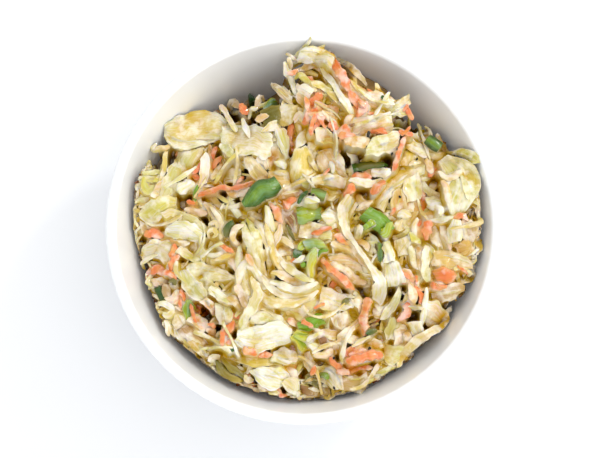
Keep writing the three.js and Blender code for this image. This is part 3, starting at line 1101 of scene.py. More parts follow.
LEFT_TOP = (
    shred("left edge strand", 1.4, (171, 149), (168, 158), (166, 168), (162, 178), (159, 188), tint=BUTTER),
    shred("left rim curl", 2.0, (155, 141), (152, 147), (156, 152), (165, 151), (172, 148), tint=WHITE,
          to=STRAW, lift=(2, 1.5, 1, 0.5)),
    shred("yellow-green curl", 2.6, (144, 177), (144, 185), (148, 191), (157, 191), tint=LIME, to=GREENISH,
          taper=(0.5, 0.8), lift=(1.5, 1, 0.5)),
    leaf("cream piece inside the curl", ((157, 183), (165, 181), (173, 183)),
         ((151, 198), (161, 200), (170, 199)), tint=ROSE, to=CREAM),
    leaf("broad strand", ((179, 152), (172, 166), (166, 180), (161, 194), (158, 204)),
         ((206, 150), (197, 163), (189, 176), (181, 189), (170, 203)), tint=CREAM, heart=GREENISH,
         cup=-0.8),
    carrot("thin carrot under the leaf", 1.0, (187, 146), (194, 145), (202, 144)),
    leaf("big left leaf",
         ((164, 136), (168, 142), (175, 148), (186, 150), (198, 148), (210, 145), (224, 139)),
         ((166, 130), (173, 124), (182, 118), (193, 113), (205, 112), (217, 115), (228, 124)), tint=WHITE,
         heart=BUTTER, cup=1.6, lift=(2.2, 2, 1.5, 0.8), thick=0.7, ragged=0.15),
    shred("rim fold of the big leaf", 1.6, (196, 139), (207, 137), (218, 138), (226, 141), tint=CREAM,
          to=GREENISH),
    # Painted shade: a golden strip laid along a crease.
    shred("brown crease by the leaf", 1.6, (210, 145), (211, 152), (213, 158), tint=GOLD),
    carrot("bright carrot stub", 1.7, (216, 148), (214, 154), (212, 161), pale=0.0),
    carrot("pale carrot", 2.0, (222, 158), (216, 164), (210, 171), pale=0.7),
    carrot("carrot behind the white shred", 2.2, (190, 174), (196, 177), (200, 181), pale=0.25),
    carrot("thin carrot edge", 1.4, (202, 164), (198, 171), (192, 174), pale=0.1),
    shred("white pointed shred", 3.0, (208, 156), (207, 164), (205, 175), (201, 187), tint=WHITE, to=ROSE,
          taper=(0.25, 0.9), thick=1.2),
    shred("cream shred beside it", 2.2, (223, 167), (217, 173), (212, 180), tint=ROSE, to=CREAM),
    rib("white chunk", 4.6, (180, 196), (186, 189), (192, 182), tint=WHITE, thick=2.2),
    onion("green sliver below it", 1.4, (198, 186), (196, 194), (195, 203), tint=ONION_BRIGHT),
    carrot("little carrot", 1.7, (188, 203), (193, 205), (196, 204), pale=0.1),
    leaf("folded white piece", ((223, 173), (231, 170), (240, 170)), ((226, 186), (234, 185), (243, 180)),
         tint=WHITE, to=CREAM, cup=0.8),
)

LEFT_MIDDLE = (
    leaf("left wall leaf", ((138, 213), (146, 206), (156, 200), (168, 197), (176, 198)),
         ((140, 219), (150, 226), (161, 221), (171, 214), (179, 211)), tint=WHITE, to=BUTTER, heart=LIME,
         cup=-0.6),
    leaf("tan leaf below it", ((141, 221), (149, 226), (157, 230)), ((143, 234), (150, 238), (157, 238)),
         tint=TAN),
    carrot("left wall carrot", 3.0, (147, 239), (155, 234), (164, 237), pale=0.25),
    shred("yellow shred by the gap", 2.4, (165, 228), (172, 225), (177, 222), tint=BUTTER, to=GOLD),
    shred("pink shred", 2.8, (186, 209), (196, 213), (208, 213), tint=ROSE, to=TAN),
    shred("cream strand", 3.0, (163, 216), (174, 215), (186, 218), (198, 224), (207, 230), tint=CREAM,
          to=LIME, taper=(0.8, 0.6)),
    shred("grey-pink shred", 2.8, (204, 203), (213, 212), (220, 222), (224, 236), tint=TAN, to=CREAM),
    shred("loop's outer strand", 2.0, (212, 207), (218, 217), (222, 227), (221, 240), tint=CREAM),
    leaf("white flake", ((165, 235), (176, 240), (188, 241), (198, 243)),
         ((170, 226), (181, 221), (195, 225), (207, 233)), tint=WHITE, cup=-0.6, lift=0.6),
    shred("loop one", 1.2, (211, 231), (211, 225), (216, 223), (217, 228), (213, 231), tint=CREAM),
    shred("loop two", 1.3, (209, 239), (209, 233), (214, 230), (217, 235), (213, 239), tint=CREAM,
          to=BUTTER),
    leaf("white leaf at the wall", ((140, 256), (147, 263), (153, 258), (161, 262), (169, 265)),
         ((146, 246), (153, 240), (161, 240), (169, 242), (176, 248)), tint=WHITE, to=CREAM, cup=0.5,
         lift=(1, 0.6, 0)),
    shred("tan shred under the flake", 2.2, (171, 242), (181, 244), (190, 243), tint=GOLD, to=KHAKI),
    carrot("pale carrot by the leaf", 2.2, (176, 245), (173, 252), (171, 258), pale=0.6),
    leaf("grey-white strand", ((175, 253), (184, 258), (194, 263), (203, 265)),
         ((182, 247), (190, 252), (199, 257), (207, 259)), tint=CREAM, to=GREENISH),
    shred("upright white shred", 2.0, (203, 246), (203, 255), (204, 264), tint=WHITE, to=LIME),
    shred("upright pale shred", 1.7, (211, 241), (212, 250), (213, 258), tint=WHITE, to=GREENISH),
    leaf("lime leaf", ((207, 257), (216, 254), (225, 260)), ((209, 268), (217, 271), (226, 272)),
         tint=CREAM, heart=LIME),
    leaf("pink leaf under the carrots", ((151, 279), (161, 277), (172, 281)),
         ((153, 286), (163, 287), (171, 291)), tint=ROSE),
    carrot("left carrot blob", 3.2, (151, 272), (159, 270), (168, 274), pale=0.35),
    carrot("left carrot strand", 2.6, (178, 257), (174, 264), (171, 272), pale=0.45),
    carrot("left carrot foot", 2.4, (165, 275), (172, 276), (178, 282), pale=0.3),
    leaf("long leaf", ((187, 277), (199, 279), (213, 281), (231, 282)),
         ((187, 267), (198, 263), (211, 266), (224, 270), (236, 277)), tint=GREENISH, to=CREAM, cup=-0.8,
         lift=(0.4, 0.8, 0.4)),
    shred("tan shred between", 2.6, (214, 244), (224, 250), (232, 259), tint=TAN, to=STRAW),
    shred("cream shred at the bundle", 2.6, (226, 255), (234, 263), (240, 275), tint=CREAM, to=ROSE),
)

MIDDLE = (
    shred("golden bed shred", 3.2, (228, 196), (240, 193), (252, 190), tint=GOLD, to=STRAW),
    leaf("golden strand", ((244, 158), (246, 168), (252, 178), (262, 186)),
         ((252, 157), (260, 167), (268, 175), (278, 182)), tint=CREAM, to=STRAW),
    leaf("golden flap", ((255, 150), (258, 162), (267, 172)), ((278, 147), (281, 157), (272, 167)),
         tint=STRAW, heart=GOLD),
    leaf("smooth cream mass", ((222, 145), (230, 154), (242, 157), (254, 155), (263, 159), (270, 152)),
         ((223, 132), (232, 127), (243, 129), (254, 129), (265, 134), (274, 141)), tint=GREENISH, to=WHITE,
         heart=CREAM, cup=-1.2, lift=(0.5, 1.2, 0.8), thick=0.9),
    shred("grey-green fold", 3.4, (224, 145), (228, 151), (233, 157), tint=GREENISH, lift=0.4),
    shred("white strand one", 2.0, (222, 113), (229, 122), (237, 132), tint=ROSE, to=WHITE,
          lift=(0.6, 1, 0.5)),
    shred("white strand two", 1.9, (243, 122), (246, 130), (250, 138), tint=WHITE),
    leaf("pale triangular flap", ((261, 133), (268, 125), (276, 121)), ((266, 134), (274, 133), (281, 136)),
         tint=CREAM, lift=0.5),
    leaf("hanging white strip", ((276, 131), (277, 142), (281, 153), (286, 161)),
         ((284, 130), (288, 140), (289, 151), (289, 160)), tint=CREAM, to=WHITE, heart=GREENISH, cup=-0.4,
         lift=0.4),
    rib("white bead", 3.4, (277, 163), (281, 167), (283, 171), tint=WHITE, thick=1.6),
    leaf("cream bed", ((268, 172), (276, 172), (288, 172)), ((270, 184), (280, 188), (291, 186)),
         tint=STRAW, to=CREAM),
    leaf("brown underside", ((276, 189), (288, 187), (301, 187)), ((278, 198), (290, 199), (302, 196)),
         tint=TAN, to=GOLD, rim=TAN),
    leaf("yellow leaf", ((296, 148), (292, 158), (290, 170), (293, 182)),
         ((306, 146), (312, 155), (316, 166), (310, 179)), tint=BUTTER, heart=YOLK, cup=-0.8, lift=0.5),
    shred("white hood", 3.6, (299, 148), (302, 140), (309, 133), (313, 141), (311, 150), tint=WHITE,
          to=CREAM),
    shred("yellow-green streak", 1.6, (309, 156), (312, 163), (316, 171), tint=KHAKI, to=BUTTER),
    leaf("square cream cup", ((318, 152), (317, 162), (320, 172), (327, 180)),
         ((333, 149), (341, 157), (345, 168), (347, 179)), tint=CREAM, heart=ROSE, rim=BUTTER, cup=1.3,
         lift=0.3),
    rib("white streak in the cup", 1.8, (331, 162), (333, 168), (332, 174), tint=WHITE, thick=1.0),
    leaf("khaki fold", ((298, 181), (303, 177), (311, 177)), ((303, 189), (309, 192), (315, 189)),
         tint=GREENISH, to=KHAKI),
    leaf("flap below the ribbon", ((317, 188), (327, 187), (340, 189)),
         ((325, 201), (334, 201), (343, 197)), tint=CREAM, to=GREENISH),
    leaf("level ribbon", ((311, 178), (323, 175), (336, 176), (348, 181)),
         ((312, 187), (324, 186), (337, 188), (347, 190)), tint=WHITE, to=CREAM, heart=CREAM, cup=-0.5,
         lift=(0.6, 0.6, 0.3)),
    leaf("tan field", ((301, 224), (312, 223), (330, 225)), ((299, 238), (313, 240), (332, 240)),
         tint=STRAW, to=GREENISH),
)

ABOVE_MIDDLE = (
    carrot("long left carrot", 1.9, (199, 198), (212, 193), (228, 190), (243, 187), (253, 183), pale=0.35,
           lift=0.3),
    tube("dark slanted onion", 6.4, 5.0, (244, 207), (252, 201), (261, 195), (270, 190), (278, 184),
         wall=0.8, slant=0.1, skin=ONION_DARK, inside=ONION_BRIGHT, lift=0.4,
         taper=(0.3, 0.85, 1.05, 1.05, 1, 0.7)),
    carrot("carrot under the brown leaf", 3.0, (284, 207), (290, 203), (295, 199), pale=0.2),
    carrot("salmon strip", 2.8, (274, 206), (277, 214), (280, 224), pale=0.75),
    leaf("wilted purple leaf", ((282, 212), (284, 221), (290, 232)), ((293, 210), (298, 221), (297, 234)),
         tint=WILT_AND_SHADE_BROWN, rim=TAN),
    onion("olive shred one", 1.2, (286, 225), (290, 233), (295, 241), tint=OLIVE),
    onion("olive shred two", 1.2, (281, 230), (286, 238), (293, 246), tint=OLIVE, to=KHAKI),
    leaf("tan basin", ((273, 249), (282, 256), (293, 254)), ((275, 242), (284, 241), (294, 249)), tint=TAN,
         rim=CREAM, cup=0.9),
    shred("basin's cream lip", 1.8, (273, 245), (277, 239), (286, 241), (294, 248), tint=CREAM, lift=0.5),
    shred("white shred", 2.6, (267, 208), (269, 217), (271, 228), (273, 239), tint=WHITE,
          lift=(1, 0.6, 0.2)),
    shred("pink-white shred", 2.6, (280, 225), (279, 233), (274, 243), (271, 250), tint=ROSE, to=WHITE),
)

ONIONS_MIDDLE = (
    onion_leaf("frosty onion leaf", ((297, 205), (303, 203), (312, 206), (321, 211)),
               ((297, 223), (305, 224), (313, 221), (321, 219)), tint=ONION_FROST, heart=ONION_PALE,
               rim=ONION_PALE, cup=-1.4, thick=1.0),
    onion("dark onion edge", 1.8, (298, 205), (302, 199), (308, 193), tint=ONION_DARK, thick=1.4),
    tube("olive hollow onion", 4.2, 3.0, (311, 196), (318, 197), (325, 199), wall=0.6, skin=OLIVE,
         inside=OLIVE),
    rib("white cream blob", 3.0, (305, 203), (311, 203), (317, 206), tint=WHITE, thick=1.6, lift=0.5),
    leaf("white cluster by the onion", ((322, 213), (328, 210), (335, 213)),
         ((323, 221), (329, 224), (335, 221)), tint=WHITE, to=CREAM, cup=-0.5),
    carrot("bright carrot by it", 2.4, (328, 227), (321, 231), (313, 235), pale=0.0),
    onion_leaf("dark cross leaf", ((293, 258), (294, 251), (301, 246)),
               ((301, 258), (303, 253), (304, 247)), tint=ONION_DARK, rim=ONION_FROST),
    onion("cross's pale arm", 2.6, (298, 249), (304, 246), (311, 250), tint=ONION_PALE, to=GREENISH,
          thick=1.2),
    onion_leaf("cross's frosty top", ((303, 242), (312, 240), (322, 242)),
               ((307, 249), (315, 251), (327, 250)), tint=ONION_FROST, to=ONION_PALE, cup=-0.8, thick=1.0),
    onion("cross's green right edge", 1.3, (328, 251), (320, 253), (315, 262), (313, 274),
          tint=ONION_BRIGHT, to=ONION_DARK),
    rib("white bit left of the stem", 2.2, (294, 261), (299, 261), (305, 258), tint=WHITE),
    onion("lime bit", 2.4, (301, 268), (306, 266), tint=ONION_BRIGHT, thick=1.4),
    onion("cross's stem", 2.8, (315, 250), (312, 260), (310, 270), (311, 282), tint=ONION_PALE, to=CREAM,
          thick=1.2, lift=0.6),
    tube("bright onion chunk", 6.2, 4.4, (364, 214), (372, 219), (381, 226), (387, 233), wall=1.0,
         slant=0.2, skin=ONION_BRIGHT, inside=ONION_PALE, lift=0.3),
    tube("onion ring end", 5.0, 3.4, (366, 226), (369, 231), wall=0.8, skin=ONION_PALE, inside=ONION_FROST,
         lift=1.0),
    onion("onion chunk's pale foot", 3.2, (381, 237), (386, 232), (389, 224), tint=ONION_PALE, thick=1.4,
          lift=0.6),
    onion("small dark onion", 3.6, (231, 224), (229, 231), (229, 238), tint=ONION_DARK, to=OLIVE,
          thick=2.0),
    onion_leaf("green sliver", ((352, 166), (360, 164), (374, 163), (388, 167)),
               ((353, 171), (361, 171), (370, 169), (384, 168)), tint=ONION_DARK, heart=OLIVE,
               rim=ONION_DARK, cup=-0.6, thick=0.9),
    tube("onion in the right gap", 4.4, 3.0, (426, 141), (432, 146), (438, 152), wall=0.7, skin=ONION_DEEP,
         inside=ONION_FROST),
)

BUNDLE = (
    shred("bundle strand one", 2.6, (250, 217), (258, 225), (265, 238), (270, 252), (270, 268), (268, 284),
          tint=CREAM, to=WHITE, lift=(0, 1, 1.2, 0.8, 0.3)),
    shred("bundle strand two", 2.4, (265, 224), (269, 236), (273, 250), (280, 262), (288, 272), tint=BUTTER,
          to=CREAM, lift=(0.4, 0.6, 0.2)),
    shred("bundle strand three", 2.6, (247, 220), (253, 231), (259, 246), (262, 262), (266, 280), tint=LIME,
          to=CREAM, lift=(0.3, 0.8, 0.8, 0.3)),
    shred("bundle strand four", 2.8, (243, 224), (247, 236), (251, 250), (255, 262), (262, 277),
          tint=GREENISH, to=CREAM, lift=(0.4, 0.9, 0.9, 0.4)),
    shred("bundle's left loop", 1.9, (244, 226), (237, 230), (233, 237), (236, 244), (243, 249), tint=CREAM,
          to=ROSE, lift=(0.6, 1, 0.6)),
    shred("bundle's left strand", 3.0, (240, 246), (240, 260), (243, 275), (248, 289), (252, 300),
          tint=GREENISH, to=CREAM, lift=(0.3, 0.5, 0.5)),
    shred("bundle's arch", 2.8, (239, 286), (240, 272), (246, 265), (253, 268), (259, 278), (265, 290),
          tint=CREAM, to=WHITE, lift=(0.2, 1, 1.2, 0.8, 0.2)),
    shred("pink stain", 2.2, (247, 254), (250, 260), (252, 266), tint=CARROT_PALE, to=ROSE, lift=0.5),
    shred("golden fold", 2.4, (271, 248), (276, 260), (282, 271), (287, 281), tint=BUTTER, to=STRAW,
          lift=0.4),
    shred("cream bed strand", 2.8, (272, 274), (283, 276), (295, 282), (310, 284), tint=CREAM, to=ROSE),
    shred("lower strand one", 2.6, (262, 276), (269, 286), (279, 294), (292, 299), (306, 297), (318, 290),
          tint=CREAM, to=WHITE, lift=(0.3, 0.6, 0.4)),
    shred("lower strand two", 2.4, (281, 262), (291, 270), (301, 277), (314, 283), tint=CREAM, to=GREENISH,
          lift=0.3),
    shred("lower strand three", 2.4, (270, 282), (281, 285), (292, 290), (304, 290), (318, 285), tint=WHITE,
          to=CREAM, lift=(0.3, 0.7, 0.3)),
    shred("lower strand four", 2.8, (257, 288), (264, 299), (277, 303), (294, 303), (309, 298), tint=BUTTER,
          to=CREAM, lift=(0.2, 0.4, 0.4)),
    shred("bundle's tail", 3.2, (255, 280), (257, 295), (253, 306), (246, 317), (240, 328), tint=CREAM,
          to=GREENISH, taper=(1, 0.8), lift=(0.8, 1, 1, 0.6)),
    shred("grey-pink shred beside it", 3.0, (236, 286), (243, 296), (247, 306), tint=ROSE, to=TAN),
)

RIGHT_TOP = (
    shred("cream shred by the hollow", 2.4, (434, 140), (440, 147), (446, 153), tint=CREAM, to=TAN),
    leaf("lime leaf behind the curl", ((442, 153), (455, 152), (468, 150), (479, 156)),
         ((450, 158), (461, 162), (471, 167), (479, 164)), tint=BUTTER, to=LIME, heart=LIME, lift=(0.5, 1)),
    leaf("white leaf at the carrot", ((403, 132), (400, 148), (397, 166)),
         ((417, 136), (424, 149), (422, 165)), tint=CREAM, to=STRAW, heart=WHITE, lift=0.6),
    leaf("cream ridge", ((405, 135), (418, 143), (430, 150), (444, 156)),
         ((402, 146), (415, 154), (428, 158), (441, 163)), tint=CREAM, heart=WHITE, lift=(0.6, 0.8, 0.5),
         cup=-0.5),
    carrot("carrot in the curl", 2.8, (427, 178), (431, 174), (437, 169), pale=0.2),
    shred("brown shred in the curl", 2.6, (425, 160), (429, 167), (433, 173), tint=STRAW, to=ROSE),
    leaf("big curled leaf", ((437, 164), (444, 178), (447, 192), (446, 204), (452, 217)),
         ((446, 157), (464, 163), (478, 174), (479, 192), (466, 210)), tint=CREAM, to=GREENISH,
         heart=GREENISH, rim=WHITE, cup=1.4, lift=(1, 2, 2.4, 1.8, 0.8), thick=0.7, ragged=0.1),
    shred("lime streak in the curl", 1.7, (461, 175), (465, 185), (467, 199), tint=LIME, lift=0.1),
    shred("inner fold of the curl", 2.4, (437, 175), (446, 178), (455, 176), (462, 171), tint=CREAM,
          to=STRAW, lift=0.2),
    shred("pink fold of the curl", 2.4, (440, 184), (446, 192), (449, 203), tint=ROSE, to=CREAM),
    leaf("broad leaning strand", ((424, 165), (408, 168), (394, 175), (382, 188), (370, 204)),
         ((424, 174), (411, 181), (399, 191), (390, 199), (384, 212)), tint=GREENISH, to=CREAM, heart=CREAM,
         cup=-0.6, lift=(0.8, 1, 0.6, 0.2)),
    carrot("slanting carrot", 1.9, (402, 142), (399, 153), (395, 165), (392, 175), pale=0.3, lift=0.6),
    leaf("pink-white cluster", ((371, 168), (380, 168), (390, 170)), ((372, 178), (382, 181), (391, 177)),
         tint=ROSE, to=WHITE),
    carrot("carrot under the sliver", 2.6, (352, 177), (361, 178), (371, 180), pale=0.6),
    shred("white swoosh", 2.6, (349, 182), (359, 186), (372, 187), (381, 182), tint=WHITE, to=CREAM),
    carrot("salmon shred", 2.6, (384, 183), (377, 189), (371, 198), pale=0.4),
    carrot("carrot by the ribbon", 2.8, (352, 186), (349, 194), (343, 200), pale=0.35),
    leaf("golden leaf", ((393, 192), (391, 203), (392, 215)), ((405, 190), (412, 200), (414, 214)),
         tint=STRAW, to=BUTTER, heart=GOLD),
    leaf("lime-cream leaf", ((402, 183), (404, 193), (408, 203)), ((418, 173), (422, 186), (421, 200)),
         tint=CREAM, heart=LIME, cup=-0.4),
    shred("tan shred by the ribbon", 2.8, (357, 196), (362, 203), (367, 209), tint=TAN, to=STRAW),
    shred("cream shred", 2.2, (357, 211), (364, 206), (372, 202), tint=CREAM, to=ROSE),
)

RIGHT_MIDDLE = (
    carrot("carrot at the curl's foot", 2.2, (453, 222), (460, 217), (467, 221), pale=0.5),
    leaf("tan leaf at the wall", ((462, 224), (461, 234), (465, 246)), ((471, 220), (477, 229), (473, 242)),
         tint=TAN, rim=BUTTER, cup=0.5),
    leaf("golden leaf at the wall", ((451, 246), (460, 242), (470, 241)),
         ((457, 253), (465, 257), (474, 250)), tint=GOLD, to=STRAW, rim=TAN),
    shred("cream shred upright", 3.0, (433, 224), (434, 235), (440, 247), tint=TAN, to=CREAM),
    shred("cream shred upright two", 3.0, (442, 223), (446, 234), (451, 248), tint=CREAM, to=ROSE),
    leaf("white square at the right", ((450, 222), (447, 232), (449, 243)),
         ((460, 222), (461, 232), (461, 242)), tint=WHITE, to=CREAM, lift=0.4),
    leaf("rosy shreds", ((425, 213), (433, 209), (442, 212)), ((427, 222), (436, 224), (445, 221)),
         tint=ROSE, to=CREAM),
    shred("level white shred", 1.7, (430, 220), (441, 221), (452, 219), tint=WHITE, lift=0.3),
    leaf("white knot", ((425, 200), (433, 196), (442, 199)), ((427, 208), (435, 211), (444, 207)),
         tint=WHITE, cup=-1.0, lift=0.5, thick=0.9),
    rib("white knot's lower bead", 2.4, (436, 206), (440, 211), (438, 216), tint=WHITE, thick=1.4),
    shred("cream shred with a dark edge", 1.9, (418, 219), (414, 227), (416, 236), tint=CREAM),
    carrot("right carrot", 3.4, (429, 221), (426, 229), (423, 238), pale=0.3, lift=0.4),
    carrot("tiny carrot", 1.4, (395, 208), (391, 216), pale=0.2),
    rib("cream block one", 3.0, (397, 216), (403, 215), (410, 218), tint=WHITE, to=CREAM, thick=1.4),
    rib("cream block two", 3.4, (397, 232), (399, 226), (403, 221), tint=CREAM, thick=1.4),
    shred("khaki shred", 2.0, (392, 238), (402, 236), (409, 229), tint=KHAKI, to=GREENISH),
    leaf("white square", ((393, 241), (395, 249), (398, 256)), ((408, 237), (411, 246), (411, 256)),
         tint=CREAM, to=WHITE, lift=0.6),
    shred("lime shred", 2.2, (409, 235), (414, 240), (420, 243), tint=LIME),
    shred("pale upright", 2.8, (410, 246), (413, 258), (418, 270), tint=GREENISH, to=CREAM),
    shred("golden upright", 2.2, (418, 247), (420, 259), (420, 271), tint=GOLD, to=STRAW),
    shred("white-green upright", 2.8, (427, 246), (425, 258), (425, 270), (428, 282), tint=CREAM,
          to=GREENISH, lift=0.3),
    leaf("fish-tail leaf", ((433, 253), (444, 250), (456, 253), (472, 262)),
         ((432, 267), (445, 269), (458, 270), (472, 270)), tint=STRAW, to=CREAM, rim=CREAM, cup=0.5),
    leaf("salmon slice", ((434, 271), (443, 267), (453, 271)), ((437, 281), (446, 284), (456, 277)),
         tint=CARROT_PALE, heart=CARROT, rim=CARROT_PALE, kind="carrot_shreds", thick=1.1, lift=0.4),
    leaf("peach strand", ((394, 267), (405, 270), (416, 279)), ((393, 273), (402, 278), (413, 286)),
         tint=ROSE, to=CARROT_PALE),
    carrot("salmon end", 2.2, (395, 270), (402, 273), (410, 278), pale=0.6),
)

CENTRE = (
    shred("cream strip above", 2.8, (331, 244), (343, 246), (357, 253), tint=CREAM, to=STRAW),
    carrot("pink carrot", 2.2, (335, 235), (341, 240), (346, 245), pale=0.6),
    shred("peach shred", 2.4, (357, 241), (364, 244), (369, 250), tint=STRAW, to=ROSE),
    shred("olive shred", 2.2, (360, 228), (359, 233), (358, 238), tint=KHAKI),
    leaf("grey leaf", ((327, 258), (340, 254), (357, 257)), ((330, 267), (345, 268), (363, 273)),
         tint=CREAM, to=TAN, heart=ROSE, cup=-0.5),
    shred("dark hole's strand", 2.0, (352, 247), (358, 256), (364, 266), tint=STRAW, to=TAN),
    shred("cream streak", 3.0, (332, 262), (343, 270), (356, 281), (366, 284), tint=CREAM, to=ROSE,
          lift=0.3),
    leaf("white spoon", ((382, 254), (381, 266), (381, 278), (384, 288)),
         ((391, 252), (397, 263), (403, 273), (404, 284)), tint=CREAM, to=WHITE, heart=WHITE, cup=0.8,
         lift=0.3),
    onion("onion at the spoon", 1.8, (379, 243), (380, 252), (379, 262), tint=ONION_FROST, to=ONION_DARK,
          thick=1.2),
    leaf("white smear", ((382, 244), (383, 252), (384, 262)), ((388, 243), (393, 252), (395, 262)),
         tint=GREENISH, to=WHITE, lift=0.4),
    carrot("diagonal carrot", 2.5, (321, 260), (330, 269), (341, 279), (353, 291), pale=0.45, lift=0.5),
    shred("central ribbon", 3.4, (350, 199), (343, 209), (343, 220), (346, 232), (353, 242), (361, 253),
          (368, 263), (374, 272), (379, 282), (379, 293), (377, 302), tint=CREAM, to=WHITE,
          lift=(1.2, 1.8, 2, 2, 2, 1.6, 1), thick=0.8,
          taper=(0.6, 1.1, 1.15, 0.9, 0.5, 0.4, 0.42, 0.5, 0.9, 1.4, 1.1)),
)

LOWER_LEFT = (
    onion_leaf("dark onion at the wall", ((154, 288), (157, 295), (160, 302)),
               ((160, 286), (165, 291), (168, 298)), tint=ONION_DARK, rim=OLIVE),
    shred("tan stalk", 3.2, (163, 286), (167, 292), (171, 299), tint=TAN),
    onion("olive curl", 1.6, (171, 284), (176, 283), (177, 288), tint=OLIVE, thick=1.2),
    leaf("peach leaf", ((164, 300), (171, 295), (178, 289)), ((171, 305), (179, 305), (186, 299)),
         tint=STRAW, to=ROSE, heart=CARROT_PALE),
    carrot("carrot by the boat leaf", 1.7, (180, 290), (183, 295), (185, 301), pale=0.2),
    shred("white shard one", 2.2, (159, 304), (166, 305), (175, 310), tint=WHITE),
    shred("white shard two", 2.4, (163, 314), (169, 316), (175, 312), tint=WHITE, to=BUTTER),
    shred("cream shard at the wall", 1.9, (166, 320), (168, 328), (171, 336), tint=CREAM),
    shred("golden bit", 2.2, (177, 309), (181, 309), tint=GOLD),
    onion_leaf("pale green slice", ((186, 300), (184, 309), (186, 319)),
               ((192, 301), (195, 309), (191, 317)), tint=ONION_PALE, heart=ONION_FROST, rim=ONION_PALE,
               thick=1.2),
    leaf("grey-cream leaf", ((173, 316), (173, 324), (177, 331)), ((180, 314), (185, 320), (187, 328)),
         tint=CREAM, to=TAN),
    # Painted shade: these petals lie in the dark gap by the wall and are painted brown.
    leaf("brown petal one", ((178, 331), (187, 341), (198, 349), (208, 357)),
         ((185, 326), (198, 331), (208, 341), (213, 351)), tint=WILT_AND_SHADE_BROWN, to=TAN, heart=TAN, rim=TAN,
         cup=-0.6),
    leaf("brown petal two", ((186, 343), (195, 351), (206, 361)), ((193, 339), (204, 347), (212, 357)),
         tint=STRAW, to=KHAKI, rim=KHAKI),
    leaf("cream square flap", ((187, 321), (195, 326), (203, 334)), ((193, 314), (203, 318), (213, 328)),
         tint=CREAM, to=ROSE, heart=CARROT_PALE, lift=0.5),
    shred("grey flap", 3.0, (211, 324), (217, 321), (222, 319), tint=CREAM, to=TAN),
    shred("peach shred low", 2.6, (207, 330), (212, 332), (216, 337), tint=CARROT_PALE, to=TAN),
    shred("grey shred", 2.6, (212, 338), (215, 345), (218, 351), tint=TAN, to=GREENISH),
    leaf("white tab", ((218, 333), (217, 338), (219, 343)), ((224, 334), (224, 338), (223, 342)),
         tint=WHITE),
    leaf("green-gold leaf", ((198, 281), (206, 290), (215, 299)), ((206, 277), (216, 285), (224, 294)),
         tint=GREENISH, to=STRAW, heart=KHAKI),
    leaf("boat-shaped leaf", ((180, 273), (182, 286), (190, 298), (201, 303)),
         ((188, 269), (197, 279), (206, 290), (208, 299)), tint=WHITE, to=CREAM, heart=GREENISH, cup=1.2,
         lift=(0.5, 1, 0.8, 0.3)),
    leaf("rosy flap low", ((201, 302), (208, 309), (215, 317)), ((206, 298), (213, 304), (219, 311)),
         tint=ROSE, to=CARROT_PALE, lift=0.4),
    leaf("white flake by it", ((207, 290), (214, 298), (223, 303), (233, 306)),
         ((212, 286), (220, 290), (229, 296), (236, 301)), tint=WHITE, to=CREAM, lift=0.6),
    leaf("green-cream field", ((215, 304), (217, 315), (220, 325)), ((231, 307), (233, 317), (231, 327)),
         tint=GREENISH, to=STRAW),
    shred("tan shred in the middle left", 2.8, (228, 297), (236, 302), (241, 310), tint=STRAW, to=TAN),
    carrot("upright carrot", 3.0, (232, 322), (229, 332), (226, 342), (224, 351), pale=0.35, lift=0.5),
    carrot("carrot's foot", 2.4, (227, 346), (234, 344), (241, 347), pale=0.25),
    onion("dark bit under it", 1.6, (228, 350), (233, 351), (237, 350), tint=ONION_DARK),
    shred("cream curl at the wall", 2.4, (209, 362), (213, 358), (220, 357), tint=WHITE, to=CREAM,
          lift=0.5),
    onion("khaki strand one", 2.6, (217, 361), (222, 370), (230, 377), (242, 382), tint=OLIVE, to=KHAKI,
          lift=0.4, thick=0.9),
    onion("khaki strand two", 1.8, (222, 359), (230, 367), (238, 373), (244, 378), tint=KHAKI, to=OLIVE),
)

